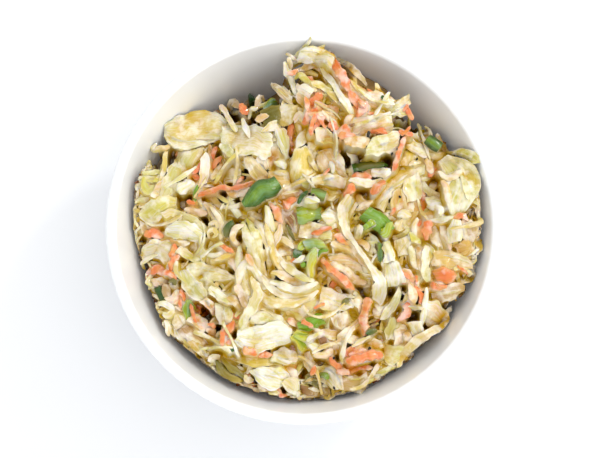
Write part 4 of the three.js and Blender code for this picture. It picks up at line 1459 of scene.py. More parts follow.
LOWER_MIDDLE = (
    # Painted shade: brown, olive and tan pieces in the dark gap at the front wall.
    leaf("bottom brown petal", ((301, 386), (313, 387), (327, 388)), ((302, 394), (314, 396), (330, 395)),
         tint=WILT_AND_SHADE_BROWN, to=KHAKI, rim=WILT_AND_SHADE_BROWN),
    leaf("bottom olive petal", ((304, 377), (314, 374), (322, 382)), ((306, 384), (314, 387), (322, 386)),
         tint=OLIVE, rim=KHAKI),
    leaf("tan leaf at the bottom", ((342, 373), (353, 377), (367, 373)),
         ((343, 390), (354, 391), (366, 386)), tint=TAN, to=KHAKI, rim=TAN),
    shred("cream edge at the bottom", 1.4, (351, 390), (360, 387), (369, 380), tint=CREAM),
    shred("tan tab", 3.0, (260, 384), (264, 388), (268, 391), tint=TAN),
    shred("cream tab", 2.4, (244, 377), (248, 381), (253, 379), tint=CREAM),
    shred("yellow strand", 2.6, (224, 356), (240, 360), (257, 363), (276, 361), (296, 362), tint=BUTTER,
          to=LIME, lift=0.3),
    leaf("green-rose leaf", ((270, 361), (283, 365), (297, 362)), ((273, 353), (284, 348), (296, 353)),
         tint=GREENISH, to=ROSE),
    carrot("salmon under the flake", 2.8, (258, 357), (264, 354), (271, 357), pale=0.5),
    shred("rose-brown shred", 3.0, (288, 368), (292, 374), (297, 381), tint=ROSE, to=TAN),
    leaf("straw leaf", ((301, 354), (303, 364), (308, 372)), ((312, 350), (314, 361), (315, 372)),
         tint=STRAW, to=CREAM),
    leaf("white flake at the bottom", ((249, 371), (256, 380), (264, 388), (275, 391), (283, 386)),
         ((257, 367), (268, 367), (279, 368), (287, 372), (290, 379)), tint=WHITE, cup=-0.5, lift=0.5),
    leaf("white tongue at the bottom", ((281, 384), (287, 392), (295, 396)),
         ((289, 377), (298, 380), (300, 390)), tint=CREAM, to=WHITE, lift=0.4),
    leaf("cream fold", ((249, 322), (259, 325), (272, 329), (284, 333)),
         ((253, 311), (266, 312), (280, 316), (290, 325)), tint=CREAM, to=WHITE, heart=GREENISH, cup=-0.8,
         lift=(0.8, 1, 0.8)),
    leaf("big white flake", ((235, 341), (243, 350), (255, 354), (268, 350), (279, 346), (291, 344)),
         ((238, 330), (250, 327), (265, 324), (280, 322), (291, 329)), tint=WHITE, heart=WHITE, cup=-1.0,
         lift=(1, 1.3, 1)),
    carrot("salmon patch on the flake", 2.6, (243, 349), (250, 352), (257, 354), pale=0.7),
    leaf("leaf by the bundle", ((283, 310), (292, 317), (303, 321), (311, 316)),
         ((282, 302), (293, 300), (305, 299), (318, 296)), tint=BUTTER, to=GREENISH, heart=CREAM, lift=0.4),
    shred("orange shred under it", 2.2, (288, 319), (294, 324), (300, 326), tint=CARROT_PALE, to=STRAW),
    onion_leaf("ridged lime piece", ((298, 325), (308, 318), (318, 312)),
               ((300, 330), (311, 331), (324, 322)), tint=ONION_BRIGHT, heart=ONION_BRIGHT, rim=ONION_PALE,
               cup=-1.0, thick=1.2, lift=0.3, ragged=0.5),
    onion_leaf("lime petals", ((291, 338), (297, 347), (302, 353)), ((297, 331), (308, 333), (316, 340)),
               tint=LIME, heart=ONION_BRIGHT, rim=GREENISH, cup=1.0, thick=1.0),
    onion("lime petal's rib", 1.6, (294, 336), (304, 339), (313, 338), tint=ONION_PALE, to=LIME, lift=0.2),
    rib("white bit right of the petals", 2.4, (308, 345), (314, 347), (320, 351), tint=WHITE, thick=1.2),
    leaf("leaf with a hole", ((318, 307), (328, 311), (340, 311), (352, 308)),
         ((322, 286), (333, 289), (345, 295), (353, 303)), tint=CREAM, to=WHITE, heart=CREAM,
         lift=(0.6, 0.8, 0.8), cup=0.3),
    onion("olive window", 2.2, (342, 303), (349, 300), tint=OLIVE, thick=0.9),
    leaf("grey translucent leaf", ((328, 313), (332, 322), (338, 330)),
         ((347, 312), (350, 321), (345, 329)), tint=CREAM, to=STRAW, heart=TAN),
    leaf("rose-tan leaf", ((314, 330), (325, 329), (338, 332)), ((317, 338), (327, 340), (340, 338)),
         tint=TAN, to=ROSE),
    leaf("brown ridged leaf", ((318, 339), (322, 345), (327, 350)), ((325, 338), (329, 342), (333, 342)),
         tint=WILT_AND_SHADE_BROWN, rim=WILT_AND_SHADE_BROWN),
    shred("leaning cream strand", 2.2, (337, 338), (347, 332), (355, 325), (361, 319), tint=CREAM, to=ROSE,
          lift=0.5),
    shred("upright rose shred", 2.4, (339, 339), (337, 347), (332, 357), tint=ROSE),
    shred("cream bed low", 3.0, (314, 355), (324, 355), (333, 351), tint=CREAM, to=ROSE),
    leaf("leaf with a green window", ((313, 367), (318, 378), (327, 385), (336, 392)),
         ((328, 365), (339, 367), (342, 378), (343, 390)), tint=WHITE, to=CREAM, rim=WHITE,
         lift=(0.6, 0.6, 0.2)),
    onion("green window", 2.2, (319, 376), (324, 375), (329, 378), tint=OLIVE, to=ONION_BRIGHT, thick=0.9),
)

LOWER_RIGHT = (
    leaf("cream-yellow fold", ((350, 298), (354, 306), (360, 315)), ((360, 298), (364, 304), (364, 313)),
         tint=STRAW, to=CREAM),
    carrot("upright salmon carrot", 3.0, (367, 299), (366, 308), (363, 318), (364, 328), (362, 335),
           pale=0.7, lift=0.5),
    onion("green bit", 2.0, (366, 335), (371, 333), (376, 331), tint=ONION_DARK, to=OLIVE),
    leaf("tan field at the right", ((372, 306), (380, 306), (388, 302)),
         ((374, 318), (382, 318), (388, 312)), tint=TAN, to=STRAW),
    shred("white-lime strand", 2.8, (400, 289), (396, 300), (389, 311), (382, 320), tint=GREENISH, to=WHITE,
          lift=0.5),
    shred("lime upright", 2.8, (392, 318), (390, 329), (387, 340), tint=GREENISH, to=KHAKI),
    carrot("deep red carrot", 3.2, (405, 304), (406, 312), (401, 321), pale=0.0),
    carrot("bright carrot", 2.6, (417, 287), (419, 297), (421, 307), pale=0.1, lift=0.5),
    shred("peach strand low", 2.4, (409, 284), (412, 294), (413, 305), tint=ROSE, to=STRAW),
    leaf("white-rose leaf", ((395, 329), (404, 325), (411, 331)), ((394, 347), (402, 351), (409, 344)),
         tint=CREAM, heart=ROSE),
    leaf("tan edge leaf", ((431, 291), (443, 288), (455, 284), (465, 285)),
         ((431, 299), (441, 303), (452, 300), (463, 292)), tint=TAN, rim=CREAM, cup=0.4),
    carrot("peach fleck", 2.6, (430, 286), (437, 288), (443, 286), pale=0.6),
    leaf("rosy white leaf", ((427, 302), (436, 302), (443, 308), (450, 319)),
         ((423, 318), (426, 326), (433, 329), (441, 327)), tint=WHITE, to=CREAM, heart=ROSE, lift=0.3),
    shred("white upright", 1.8, (425, 289), (425, 302), (422, 315), (419, 329), tint=WHITE, lift=0.4),
    leaf("cream fan", ((408, 322), (410, 331), (412, 341)), ((420, 322), (421, 330), (422, 338)),
         tint=CREAM, to=WHITE),
    shred("golden bit right", 2.6, (405, 333), (408, 338), (405, 342), tint=GOLD, to=STRAW),
    shred("long edge strand", 2.8, (449, 320), (438, 329), (424, 337), (411, 346), (401, 357), (398, 368),
          tint=CREAM, to=BUTTER, taper=(0.3, 0.7), lift=(0.8, 0.8, 0.6, 0.4)),
    leaf("cream-lime field", ((383, 347), (392, 346), (403, 347)), ((384, 362), (391, 366), (398, 361)),
         tint=CREAM, to=LIME),
    leaf("white-rose tab", ((366, 342), (373, 338), (381, 341)), ((368, 350), (375, 353), (383, 348)),
         tint=WHITE, heart=ROSE, lift=0.3),
    shred("straw bed", 3.0, (343, 340), (354, 341), (364, 344), tint=STRAW, to=CREAM),
    carrot("carrot pile one", 2.6, (342, 359), (348, 352), (357, 350), pale=0.1),
    carrot("carrot pile two", 2.4, (329, 360), (335, 365), (342, 369), pale=0.4),
    carrot("carrot pile three", 2.8, (350, 353), (359, 355), (366, 351), pale=0.5),
    carrot("carrot pile four", 3.2, (347, 371), (357, 367), (370, 366), pale=0.6),
    carrot("carrot pile five", 3.2, (346, 364), (357, 360), (369, 357), (381, 356), pale=0.35, lift=0.4),
    carrot("carrot pile six", 2.4, (338, 369), (342, 372), (349, 374), pale=0.6),
)

FIRST_LAID = (
    BACK_HOLLOW + LEFT_TOP + MIDDLE + PEAK + BELOW_PEAK + LEFT_MIDDLE + RIGHT_TOP + RIGHT_MIDDLE
    + LOWER_LEFT + LOWER_MIDDLE + LOWER_RIGHT
)
LAST_LAID = ABOVE_MIDDLE + ONIONS_MIDDLE + BUNDLE + CENTRE

# Big pieces that lie bare in the photograph: pixel and reach in millimetres.
BARE_LEAVES = (
    ("big left leaf", (196, 131), 13),
    ("peak's cap", (317, 60), 8),
    ("white patch by the big leaf", (245, 140), 8),
    ("right leaf", (450, 185), 10),
    ("big onion", (262, 196), 8),
    ("big white flake", (264, 335), 11),
    ("white flake at the bottom", (270, 378), 8),
    ("ribbon", (370, 290), 6),
    ("left white flake", (186, 232), 7),
    ("boat-shaped leaf", (192, 285), 6),
)

# Places where the photograph sees deep into the heap: pixel, reach and depth in millimetres.
DEEP_GAPS = (
    ("behind the left heap", (240, 92), 14, 4),
    ("beside the peak", (272, 88), 7, 5),
    ("right of the peak", (418, 126), 6, 5),
    ("under the golden flap", (354, 158), 2.6, 5),
    ("left of the broad strand", (163, 164), 2.5, 5),
    ("between the left strands", (175, 163), 1.8, 4),
    ("left of the tan leaf", (143, 243), 1.6, 4),
    ("left wall by the carrots", (146, 270), 2.2, 4),
    ("by the dark onion", (160, 295), 2.5, 3),
    ("crease above the brown petals", (209, 312), 2.4, 4),
    ("under the grey flap", (219, 329), 2, 4),
    ("under the brown petals", (184, 340), 1.6, 3),
    ("front left by the wall", (254, 384), 2.4, 6),
    ("bottom slit", (282, 389), 2, 6),
    ("front hollow", (316, 382), 4, 4),
    ("right front hollow", (420, 350), 4, 6),
    ("right wall hollow", (452, 308), 3.2, 5),
    ("right wall slit", (468, 276), 2.2, 4),
    ("right wall gap", (472, 215), 1.8, 3),
    ("beside the ribbon", (371, 243), 2.2, 4),
    ("by the carrots and the ribbon", (363, 291), 2.2, 3),
    ("under the golden gap", (431, 192), 2.6, 3),
    ("below the salmon carrot", (373, 327), 2.2, 3),
    ("left of the petals", (276, 350), 2, 3),
)


# ---------------------------------------------------------------- laying the traced pieces

# How close together their points are, in pixels along a strip and in millimetres on a leaf, how much of a
# row's lift is used, and how tightly they bend.
PIXEL_STEP = 2.0
LEAF_STEP = 0.7
LIFT_SHARE = 0.8
STRIP_BEND = 3
LEAF_BEND = 3.5
TUBE_BEND = 30

# The height at which a sight line is first cut.
FIRST_HEIGHT = RIM_HEIGHT - 3.0

# A traced leaf's own unevenness, as heights and lengths: slow waves, small creases and its ruffled edge.
LEAF_WAVE, WAVE_LENGTH = 0.35, 6
LEAF_CREASE, CREASE_LENGTH = 0.1, 2.5
LEAF_RUFFLE, RUFFLE_LENGTH = 0.3, 4.5

# How long the bays of its ragged edge are, and how much of its heart's colour shows in its middle.
BAY_LENGTH = 3.5
HEART_SHARE, HEART_MOST = 1.25, 0.9

# How much wider than its row says a traced strip is drawn, because its sides are rounded.
STRIP_WIDEN = 1.08

# A traced strip's batch and how flat, how pale at its edges and how curled it is.
STRIP_LOOKS = {
    "shred": ("cabbage_shreds", 0.35, 0.4, 0.4),
    "rib": ("cabbage_ribs", 0.8, 0.2, 0),
    "onion": ("green_onion", 0.6, 0.2, 0.3),
}


def resampled(points, count):
    """A smooth curve through points, sampled evenly a given number of times."""
    fine = even_path(points, np.ptp(np.asarray(points, float), axis=0).sum() / 200)
    where = np.linspace(0, len(fine) - 1, count)
    steps = np.arange(len(fine))
    return np.column_stack([np.interp(where, steps, fine[:, k]) for k in range(2)])


def profile(values, count):
    """One value or several, given along a piece, eased onto a number of even places."""
    values = np.atleast_1d(values)
    given = np.linspace(0, 1, len(values))
    line = np.interp(np.linspace(0, 1, count), given, values)
    return smooth_line(line, 3) if len(values) > 1 else line


def settled(pixels, heights_on):
    """The plan of some pixels once what they show rests on the pile: heights_on gives its heights there."""
    heights = np.full(pixels.shape[:-1], FIRST_HEIGHT)
    for _ in range(SIGHT_ROUNDS):
        plan = seen_at(pixels, heights)
        heights = heights_on(plan)
    return plan


def settled_path(pile, row):
    """The plan of a traced line once it rests on the pile, with its lift."""
    pixels = even_path(row["path"], PIXEL_STEP)
    lift = LIFT_SHARE * profile(row["lift"], len(pixels))
    return settled(pixels, lambda plan: smooth_line(pile.at(plan), 6) + lift), lift


def lay_traced_strip(pile, row, rng):
    plan, lift = settled_path(pile, row)
    if row["kind"] == "carrot":
        lay_carrot(pile, rng, plan, row["width"], lift, row["tint"])
        return
    n = len(plan)
    s = np.linspace(0, 1, n)
    taper = row["taper"]
    if len(taper) == 2:
        taper = (taper[0], 1, 1, 1, taper[1])
    ends = profile(taper, n)
    width = STRIP_WIDEN * row["width"] * ends * (1 + sway(s, 0.14, rng.uniform(4, 10), rng))
    tilt = rng.normal(0, 0.15) + sway(s, 0.3, rng.uniform(3, 8), rng)
    tint = blend_tint(row["tint"], row["to"], s)
    batch, flat, edge, curl = STRIP_LOOKS[row["kind"]]
    curl = curl * rng.choice((-1, 1)) * rng.uniform(0.5, 1)
    lay_piece(pile, rng, batch, plan, width, row["thick"], tilt, lift, STRIP_BEND, tint, lift.min() / 2,
              flat=flat, edge=edge, curl=curl, **TRACED_SKIN)


def rest_plane(pile, plan):
    """The heights of the plane that best fits the pile under a grid of plan points."""
    nu, nv = plan.shape[:2]
    u, v = np.meshgrid(np.linspace(-1, 1, nu), np.linspace(-1, 1, nv), indexing="ij")
    basis = np.column_stack([np.ones(u.size), u.ravel(), v.ravel()])
    fit = np.linalg.lstsq(basis, pile.at(plan).ravel(), rcond=None)[0]
    return (basis @ fit).reshape(nu, nv)


def lay_traced_leaf(pile, row, rng):
    length = np.linalg.norm(np.diff(row["near"], axis=0), axis=1).sum() * MM_PER_PX
    apart = resampled(row["near"], 9) - resampled(row["far"], 9)
    breadth = np.linalg.norm(apart, axis=1).mean() * MM_PER_PX
    nu, nv = (max(7, int(round(size / LEAF_STEP))) for size in (length, breadth))
    u = np.linspace(-1, 1, nu)[:, None]
    v = np.linspace(-1, 1, nv)[None, :]
    near, far = resampled(row["near"], nu), resampled(row["far"], nu)
    share = (v[..., None] + 1) / 2
    pixels = near[:, None] * (1 - share) + far[:, None] * share
    lift = LIFT_SHARE * profile(row["lift"], nu)[:, None] * np.ones(nv)
    plan = settled(pixels, lambda plan: rest_plane(pile, plan) + lift)
    edge = np.maximum(np.abs(u), np.abs(v)) ** 3
    for axis in (0, 1):
        plan[..., axis] += row["ragged"] * edge * waves(plan[..., 0], plan[..., 1], BAY_LENGTH, rng)
    x, y = plan[..., 0], plan[..., 1]
    relief = lift + row["cup"] * v**2
    relief = relief + LEAF_WAVE * waves(x, y, WAVE_LENGTH, rng)
    relief = relief + LEAF_CREASE * waves(x, y, CREASE_LENGTH, rng)
    relief = relief + LEAF_RUFFLE * edge * waves(x, y, RUFFLE_LENGTH, rng)
    tint = blend_tint(row["tint"], row["to"], (u + 1) / 2 * np.ones(nv))
    if row["heart"] is not None:
        heart = np.clip(HEART_SHARE * (1 - u**2) * (1 - v**2), 0, HEART_MOST)
        tint = blend_tint(tint, row["heart"], heart)
    tint = blend_tint(tint, row["rim"], LEAF_RIM * edge_share(nu, nv))
    surface = lay_sheet(
        pile, rng, row["kind"], plan, relief, row["thick"], LEAF_BEND, tint, lift.min() / 2
    )
    if row["kind"] == "cabbage_leaves":
        add_veins(surface, row["thick"], tint, rng)


def add_veins(surface, thick, tint, rng):
    """Veins and narrow folds along a leaf, standing a little proud of it."""
    normal = grid_normals(surface)
    nu, nv = surface.shape[:2]
    for _ in range(rng.integers(1, 3 + nv // 6)):
        across = rng.uniform(1, nv - 2) + np.linspace(-1, 1, nu) * rng.normal(0, nv / 5)
        across = np.clip(across, 0.5, nv - 1.5)
        low = across.astype(int)
        share = (across - low)[:, None]
        row = np.arange(nu)
        line = surface[row, low] * (1 - share) + surface[row, low + 1] * share
        up = normal[row, low]
        line = line + up * thick * 0.4
        side = unit(np.cross(up, unit(np.gradient(line, axis=0))))
        first = rng.integers(0, nu // 3 + 1)
        last = nu - rng.integers(0, nu // 3 + 1)
        if last - first < 5:
            continue
        cut = slice(first, last)
        width = np.full(last - first, rng.uniform(0.3, 1.3))
        width[:2] *= (0.4, 0.7)
        width[-2:] *= (0.7, 0.4)
        height = np.full(last - first, 0.35)
        other = (WHITE, WHITE, CREAM, LIME, BUTTER, STRAW)[rng.integers(6)]
        shade = blend_tint(tint[row, low], other, rng.uniform(0.3, 0.8))[cut]
        add_strip(BATCHES["cabbage_strands"], line[cut], side[cut], up[cut], width, height, shade, rng,
                  **VEIN_SKIN)


def lay_traced_tube(pile, row, rng):
    plan, lift = settled_path(pile, row)
    ends = profile(row["taper"], len(plan))
    width, height = row["width"] * ends, row["height"] * ends
    rest_width = row["width"] * 0.8 * ends
    centre, side, up = lay_strip(pile, plan, rest_width, height, np.zeros(len(plan)), lift, TUBE_BEND)
    centre[:, 2] += lift.min() / 2
    add_tube(BATCHES["green_onion"], centre, side, up, width, height, row["wall"], row["slant"],
             row["skin"], row["inside"], rng)
    cover_strip(pile, centre, side, up, rest_width, height, row["skin"])


def lay_traced(pile, row, rng):
    if "near" in row:
        lay_traced_leaf(pile, row, rng)
    elif row["kind"] == "tube":
        lay_traced_tube(pile, row, rng)
    else:
        lay_traced_strip(pile, row, rng)


# Coarse pepper, by the pixel where each grain lies.
PEPPER_SIZE = 1.1
PEPPER_GRAINS = (
    ("below the level ribbon", (313, 196)),
    ("on the straw bed", (334, 358)),
    ("by the carrot pile", (369, 349)),
    ("on the white leaf", (391, 157)),
    ("right of the peak's foot", (367, 141)),
    ("on the leaning strand", (400, 197)),
    ("beside the curl", (417, 159)),
    ("at the bottom", (334, 388)),
)


def lay_pepper(pile, rng):
    for _, pixel in PEPPER_GRAINS:
        away = rng.uniform(0, FULL_TURN)
        reach = np.array([math.cos(away), math.sin(away)]) * PEPPER_SIZE
        pixels = np.array(pixel) + np.linspace(-1, 1, 5)[:, None] * reach
        plan = seen_at(pixels, np.full(5, RIM_HEIGHT))
        plan = seen_at(pixels, pile.at(plan))
        width = PEPPER_SIZE * np.array((0.5, 0.85, 1, 0.85, 0.5))
        lay_piece(pile, rng, "pepper", plan, width, width * 0.7, 0, 0, 20, PEPPER, **PEPPER_SKIN)


def away_from(pixel):
    """The square of each cell's distance from the place on the heap that is seen at a pixel."""
    spot = np.array([pixel], float)
    plan = seen_at(spot, np.full(1, RIM_HEIGHT - 5.0))
    plan = seen_at(spot, Pile(HEAP_TOP).at(plan))[0]
    return (GRID_X - plan[0]) ** 2 + (GRID_Y - plan[1]) ** 2


def gap_depths():
    """How much lower the heap lies where the photograph sees deep into it."""
    depths = np.zeros(GRID_X.shape)
    for _, pixel, reach, depth in DEEP_GAPS:
        depths = depths + depth * np.exp(-away_from(pixel) / (2 * reach**2))
    return depths


def fill_depths():
    """How far below the heap's top loose pieces fill it: less along the wall, except at the back."""
    bearing = np.degrees(np.arctan2(GRID_Y, GRID_X)) % 360
    front = (bearing > EDGE_BEARINGS[0]) | (bearing < EDGE_BEARINGS[1] - 360)
    near_wall = np.interp(edge_distance(), (0, EDGE_BAND), (EDGE_FILL_BELOW, FILL_BELOW))
    return np.where(front, near_wall, FILL_BELOW)


def bare_leaves():
    """Where the photograph shows big pieces with nothing lying on them."""
    bare = np.zeros(GRID_X.shape, bool)
    for _, pixel, reach in BARE_LEAVES:
        bare |= away_from(pixel) < reach**2
    return bare


# ---------------------------------------------------------------- materials

# How much less red, green and blue a wet streak sends back, and how much more a dry one does.
WET_STREAK = np.array((0.6, 0.8, 4.5))
DRY_STREAK = np.array((0.12, 0.17, 0.6))

# The sizes of the dressing's smears, and of the glaze's tone and ripples, as noise scales to the metre.
SMEAR_SCALE = 260
GLAZE_TONE_SCALE = 24
GLAZE_RIPPLE_SCALE = 60

CABBAGE_LOOK = dict(
    fibres_per_mm=1.3, coat_from=0.46, coat=0.6, stripe=0.14, rough=0.36, bump=0.7, scatter=0.5,
)
CARROT_LOOK = dict(CABBAGE_LOOK, coat_from=0.5, coat=0.5, stripe=0.15, bump=1)
ONION_LOOK = dict(CABBAGE_LOOK, coat_from=0.62, coat=0.3, stripe=0.25, rough=0.35, scatter=0.3)
PEPPER_LOOK = dict(CABBAGE_LOOK, coat_from=0.7, coat=0.2, stripe=0.3, scatter=0, bump=0.8)

# What add_node sets on each kind of node that has a mode.
MODE_NAMES = dict(Attribute="attribute_name", Math="operation", Mix="data_type", VectorMath="operation")


def set_inputs(tree, node, *values, **named):
    """Gives a node's inputs, in order or by name, values of their own or other nodes' outputs."""
    for key, value in [*enumerate(values), *named.items()]:
        socket = node.inputs[key if isinstance(key, int) else key.replace("_", " ")]
        if isinstance(value, bpy.types.NodeSocket):
            tree.links.new(value, socket)
        else:
            socket.default_value = value


def add_node(tree, kind, *values, mode=None, **named):
    """A new node with the given inputs."""
    node = tree.nodes.new("ShaderNode" + kind)
    if mode:
        setattr(node, MODE_NAMES[kind], mode)
    set_inputs(tree, node, *values, **named)
    return node


def node_material(name):
    material = bpy.data.materials.new(name)
    material.use_nodes = True
    tree = material.node_tree
    return material, tree, tree.nodes["Principled BSDF"]


def in_object(tree):
    """The place on the object."""
    return add_node(tree, "TexCoord").outputs["Object"]


def noise(tree, vector, scale, detail):
    return add_node(tree, "TexNoise", Vector=vector, Scale=scale, Detail=detail).outputs["Fac"]


def mapped(tree, value, low, high, to_low, to_high):
    node = add_node(
        tree, "MapRange", Value=value, From_Min=low, From_Max=high, To_Min=to_low, To_Max=to_high
    )
    return node.outputs[0]


def toned(tree, factor, low, high):
    """A colour from a factor, between two colours."""
    tone = add_node(tree, "ValToRGB", Fac=factor)
    for stop, colour in zip(tone.color_ramp.elements, (low, high)):
        stop.color = (*colour, 1)
    return tone.outputs["Color"]


def bumped(tree, height, strength, distance):
    bump = add_node(tree, "Bump", Strength=strength, Distance=distance * MM, Height=height)
    return bump.outputs[0]


def salad_material(name, look):
    """Moist vegetable: its own tint, fibres along the grain, and creamy dressing over it in patches."""
    material, tree, shader = node_material(name)
    tint = add_node(tree, "Attribute", mode="tint").outputs["Color"]
    grain = add_node(tree, "Attribute", mode="grain").outputs["Vector"]
    along = add_node(tree, "VectorMath", grain, (0.22, look["fibres_per_mm"], 1), mode="MULTIPLY")
    fibres = noise(tree, along.outputs[0], 1, 3)
    smear = noise(tree, in_object(tree), SMEAR_SCALE, 5)
    coat = mapped(tree, smear, look["coat_from"], look["coat_from"] + 0.16, 0, look["coat"])
    streak = add_node(
        tree, "Mix", mode="VECTOR", Factor=mapped(tree, fibres, 0.35, 0.65, 0, 1),
        A=1 - look["stripe"] * WET_STREAK, B=1 + look["stripe"] * DRY_STREAK,
    )
    striped = add_node(tree, "VectorMath", tint, streak.outputs["Result"], mode="MULTIPLY")
    coated = add_node(tree, "Mix", mode="RGBA", Factor=coat, A=striped.outputs[0], B=(*DRESSING, 1))
    height = add_node(tree, "Math", smear, 1.6, fibres, mode="MULTIPLY_ADD")
    set_inputs(
        tree, shader, Base_Color=coated.outputs["Result"],
        Roughness=mapped(tree, smear, 0.35, 0.65, look["rough"], look["rough"] * 0.7),
        Normal=bumped(tree, height.outputs[0], look["bump"], 0.3),
        Subsurface_Weight=look["scatter"], Subsurface_Radius=(1.0, 0.8, 0.3), Subsurface_Scale=0.4 * MM,
        Specular_IOR_Level=0.25, Coat_Weight=0.4, Coat_Roughness=0.06,
    )
    return material


def dressing_material():
    """The creamy dressing itself, smooth and wet."""
    material, tree, shader = node_material("dressing")
    tint = add_node(tree, "Attribute", mode="tint").outputs["Color"]
    cloud = noise(tree, in_object(tree), SMEAR_SCALE, 4)
    tone = mapped(tree, cloud, 0.3, 0.7, 0.92, 1.04)
    scaled = add_node(tree, "VectorMath", tint, Scale=tone, mode="SCALE")
    set_inputs(
        tree, shader, Base_Color=scaled.outputs[0], Roughness=0.32, Normal=bumped(tree, cloud, 0.25, 0.3),
        Subsurface_Weight=0.74, Subsurface_Radius=(1.0, 0.85, 0.4), Subsurface_Scale=0.6 * MM,
        Specular_IOR_Level=0.25, Coat_Weight=0.15, Coat_Roughness=0.09,
    )
    return material


def glaze_material():
    material, tree, shader = node_material("bowl_glaze")
    place = in_object(tree)
    set_inputs(
        tree, shader, Roughness=0.3,
        Base_Color=toned(tree, noise(tree, place, GLAZE_TONE_SCALE, 2), GLAZE_LOW, GLAZE_HIGH),
        Normal=bumped(tree, noise(tree, place, GLAZE_RIPPLE_SCALE, 1), 0.08, 0.3),
        Subsurface_Weight=0.4, Subsurface_Radius=(1.0, 1.0, 1.0), Subsurface_Scale=3 * MM,
        Coat_Weight=0.4, Coat_Roughness=0.08,
    )
    return material


def core_material():
    material, tree, shader = node_material("soaked_shaded_core")
    # Painted shade: the core is mottled dark brown, as the heap's inside is seen in shadow.
    mottle = noise(tree, in_object(tree), SMEAR_SCALE, 4)
    set_inputs(
        tree, shader, Roughness=0.35, Base_Color=toned(tree, mottle, CORE_DARK, CORE_LIGHT),
        Normal=bumped(tree, mottle, 1, 0.5),
    )
    return material


# ---------------------------------------------------------------- stage

FLOOR_HALF = 6.0  # in metres, as the lights' sizes and distances are

# Each light's bearing, height angle, distance, size and power.
LIGHTS = {
    "window_front": (280, 46, 1.5, 2.2, 9.4),
    "window_right": (12, 54, 1.5, 2.2, 5.6),
    "window_back": (64, 60, 1.5, 2.2, 7.2),
    "lamp": (40, 45, 1.3, 0.12, 3),
}
LIGHT_COLOUR = (1, 0.99, 0.98)
SKY_COLOUR = (0.98, 0.99, 1.0, 1)
SKY_STRENGTH = 0.74


def make_floor():
    mesh = bpy.data.meshes.new("floor")
    corners = [(x * FLOOR_HALF, y * FLOOR_HALF, 0) for x, y in ((-1, -1), (1, -1), (1, 1), (-1, 1))]
    mesh.from_pydata(corners, [], [(0, 1, 2, 3)])
    material, tree, shader = node_material("floor")
    set_inputs(tree, shader, Base_Color=(*FLOOR, 1), Roughness=0.7)
    mesh.materials.append(material)
    floor = add_object("floor", mesh)


def area_light(name, bearing, height_angle, distance, size, power):
    """A soft square light that faces the bowl."""
    data = bpy.data.lights.new(name, "AREA")
    data.shape = "SQUARE"
    data.size = size
    data.energy = power
    data.color = LIGHT_COLOUR
    light = add_object(name, data)
    b, h = math.radians(bearing), math.radians(height_angle)
    place = Vector((math.cos(b) * math.cos(h), math.sin(b) * math.cos(h), math.sin(h))) * distance
    light.location = place
    light.rotation_mode = "QUATERNION"
    light.rotation_quaternion = place.to_track_quat("Z", "Y")


def make_lights():
    world = bpy.data.worlds.new("studio")
    world.use_nodes = True
    sky = world.node_tree.nodes["Background"]
    sky.inputs["Color"].default_value = SKY_COLOUR
    sky.inputs["Strength"].default_value = SKY_STRENGTH
    bpy.context.scene.world = world
    for name, values in LIGHTS.items():
        area_light(name, *values)
    bpy.context.scene.view_settings.view_transform = "Standard"


# ---------------------------------------------------------------- the heap's core and its dressing

CORE_SECTORS = 180
CORE_RINGS = 60
UNDERSIDE_RINGS = 9

# How far the core stays in from where the glaze rises through its top, and how far above the glaze its
# underside and, at least, its top are.
CORE_IN_FROM_EDGE = 0.6
CORE_OFF_GLAZE = 0.5
CORE_LEAST = 0.3

# The dressing between the pieces. Its top is the heap's, with gaps bridged that reach so many cells to each
# side, smoothed, lowered, lowered further by a share of the traced gaps, and uneven. It shows in gaps up to
# a depth, and runs on for some cells under the pieces beside them. It has a thickness, a tint that makes it
# browner than the pieces round it as painted shade in the gaps, and patches that are creamier.
FILM_SPAN = 1
FILM_SMOOTH = 0.5
FILM_BELOW = 0.7
FILM_GAPS = 0.5
FILM_RELIEF, FILM_WAVE = 0.15, 6
FILM_MOST = 4.0
FILM_UNDER = 3
FILM_THICKNESS = 0.6
FILM_SHADE_TINT = np.array((1.0, 0.92, 0.26))
FILM_STAIN_REACH = 1.0
CREAMY_LENGTH = 8


def make_core(heights):
    """The soaked middle of the heap, dark as painted shade: a closed skin from its top down along the glaze
    to the bowl's floor.
    """
    bearing = np.arange(CORE_SECTORS) * FULL_TURN / CORE_SECTORS
    wall, top = Pile(BOWL_TOP), Pile(heights)
    edge = farthest_above(top, wall, bearing, nearest=30, steps=200, clear=0.8) - CORE_IN_FROM_EDGE
    shares = [k / CORE_RINGS for k in range(1, CORE_RINGS + 1)]
    shares += [k / (UNDERSIDE_RINGS + 1) for k in range(UNDERSIDE_RINGS, 0, -1)]
    middle = np.zeros(2)
    points = [np.array([[0, 0, top.at(middle)]])]
    for ring, share in enumerate(shares):
        xy = np.column_stack([edge * share * np.cos(bearing), edge * share * np.sin(bearing)])
        if ring < CORE_RINGS:
            z = np.maximum(top.at(xy), wall.at(xy) + CORE_LEAST)
        else:
            z = wall.at(xy) + CORE_OFF_GLAZE
        points.append(np.column_stack([xy, z]))
    points.append(np.array([[0, 0, wall.at(middle) + CORE_OFF_GLAZE]]))
    verts = np.vstack(points)
    faces = []
    last = 1 + (len(shares) - 1) * CORE_SECTORS
    for s in range(CORE_SECTORS):
        t = (s + 1) % CORE_SECTORS
        faces.append((0, 1 + s, 1 + t))
        for a in range(1, last, CORE_SECTORS):
            faces.append((a + s, a + CORE_SECTORS + s, a + CORE_SECTORS + t, a + t))
        faces.append((last + s, len(verts) - 1, last + t))
    mesh = bpy.data.meshes.new("coleslaw_core")
    mesh.from_pydata((verts * MM).tolist(), [], faces)
    mesh.shade_smooth()
    mesh.materials.append(core_material())
    return add_object("coleslaw_core", mesh)


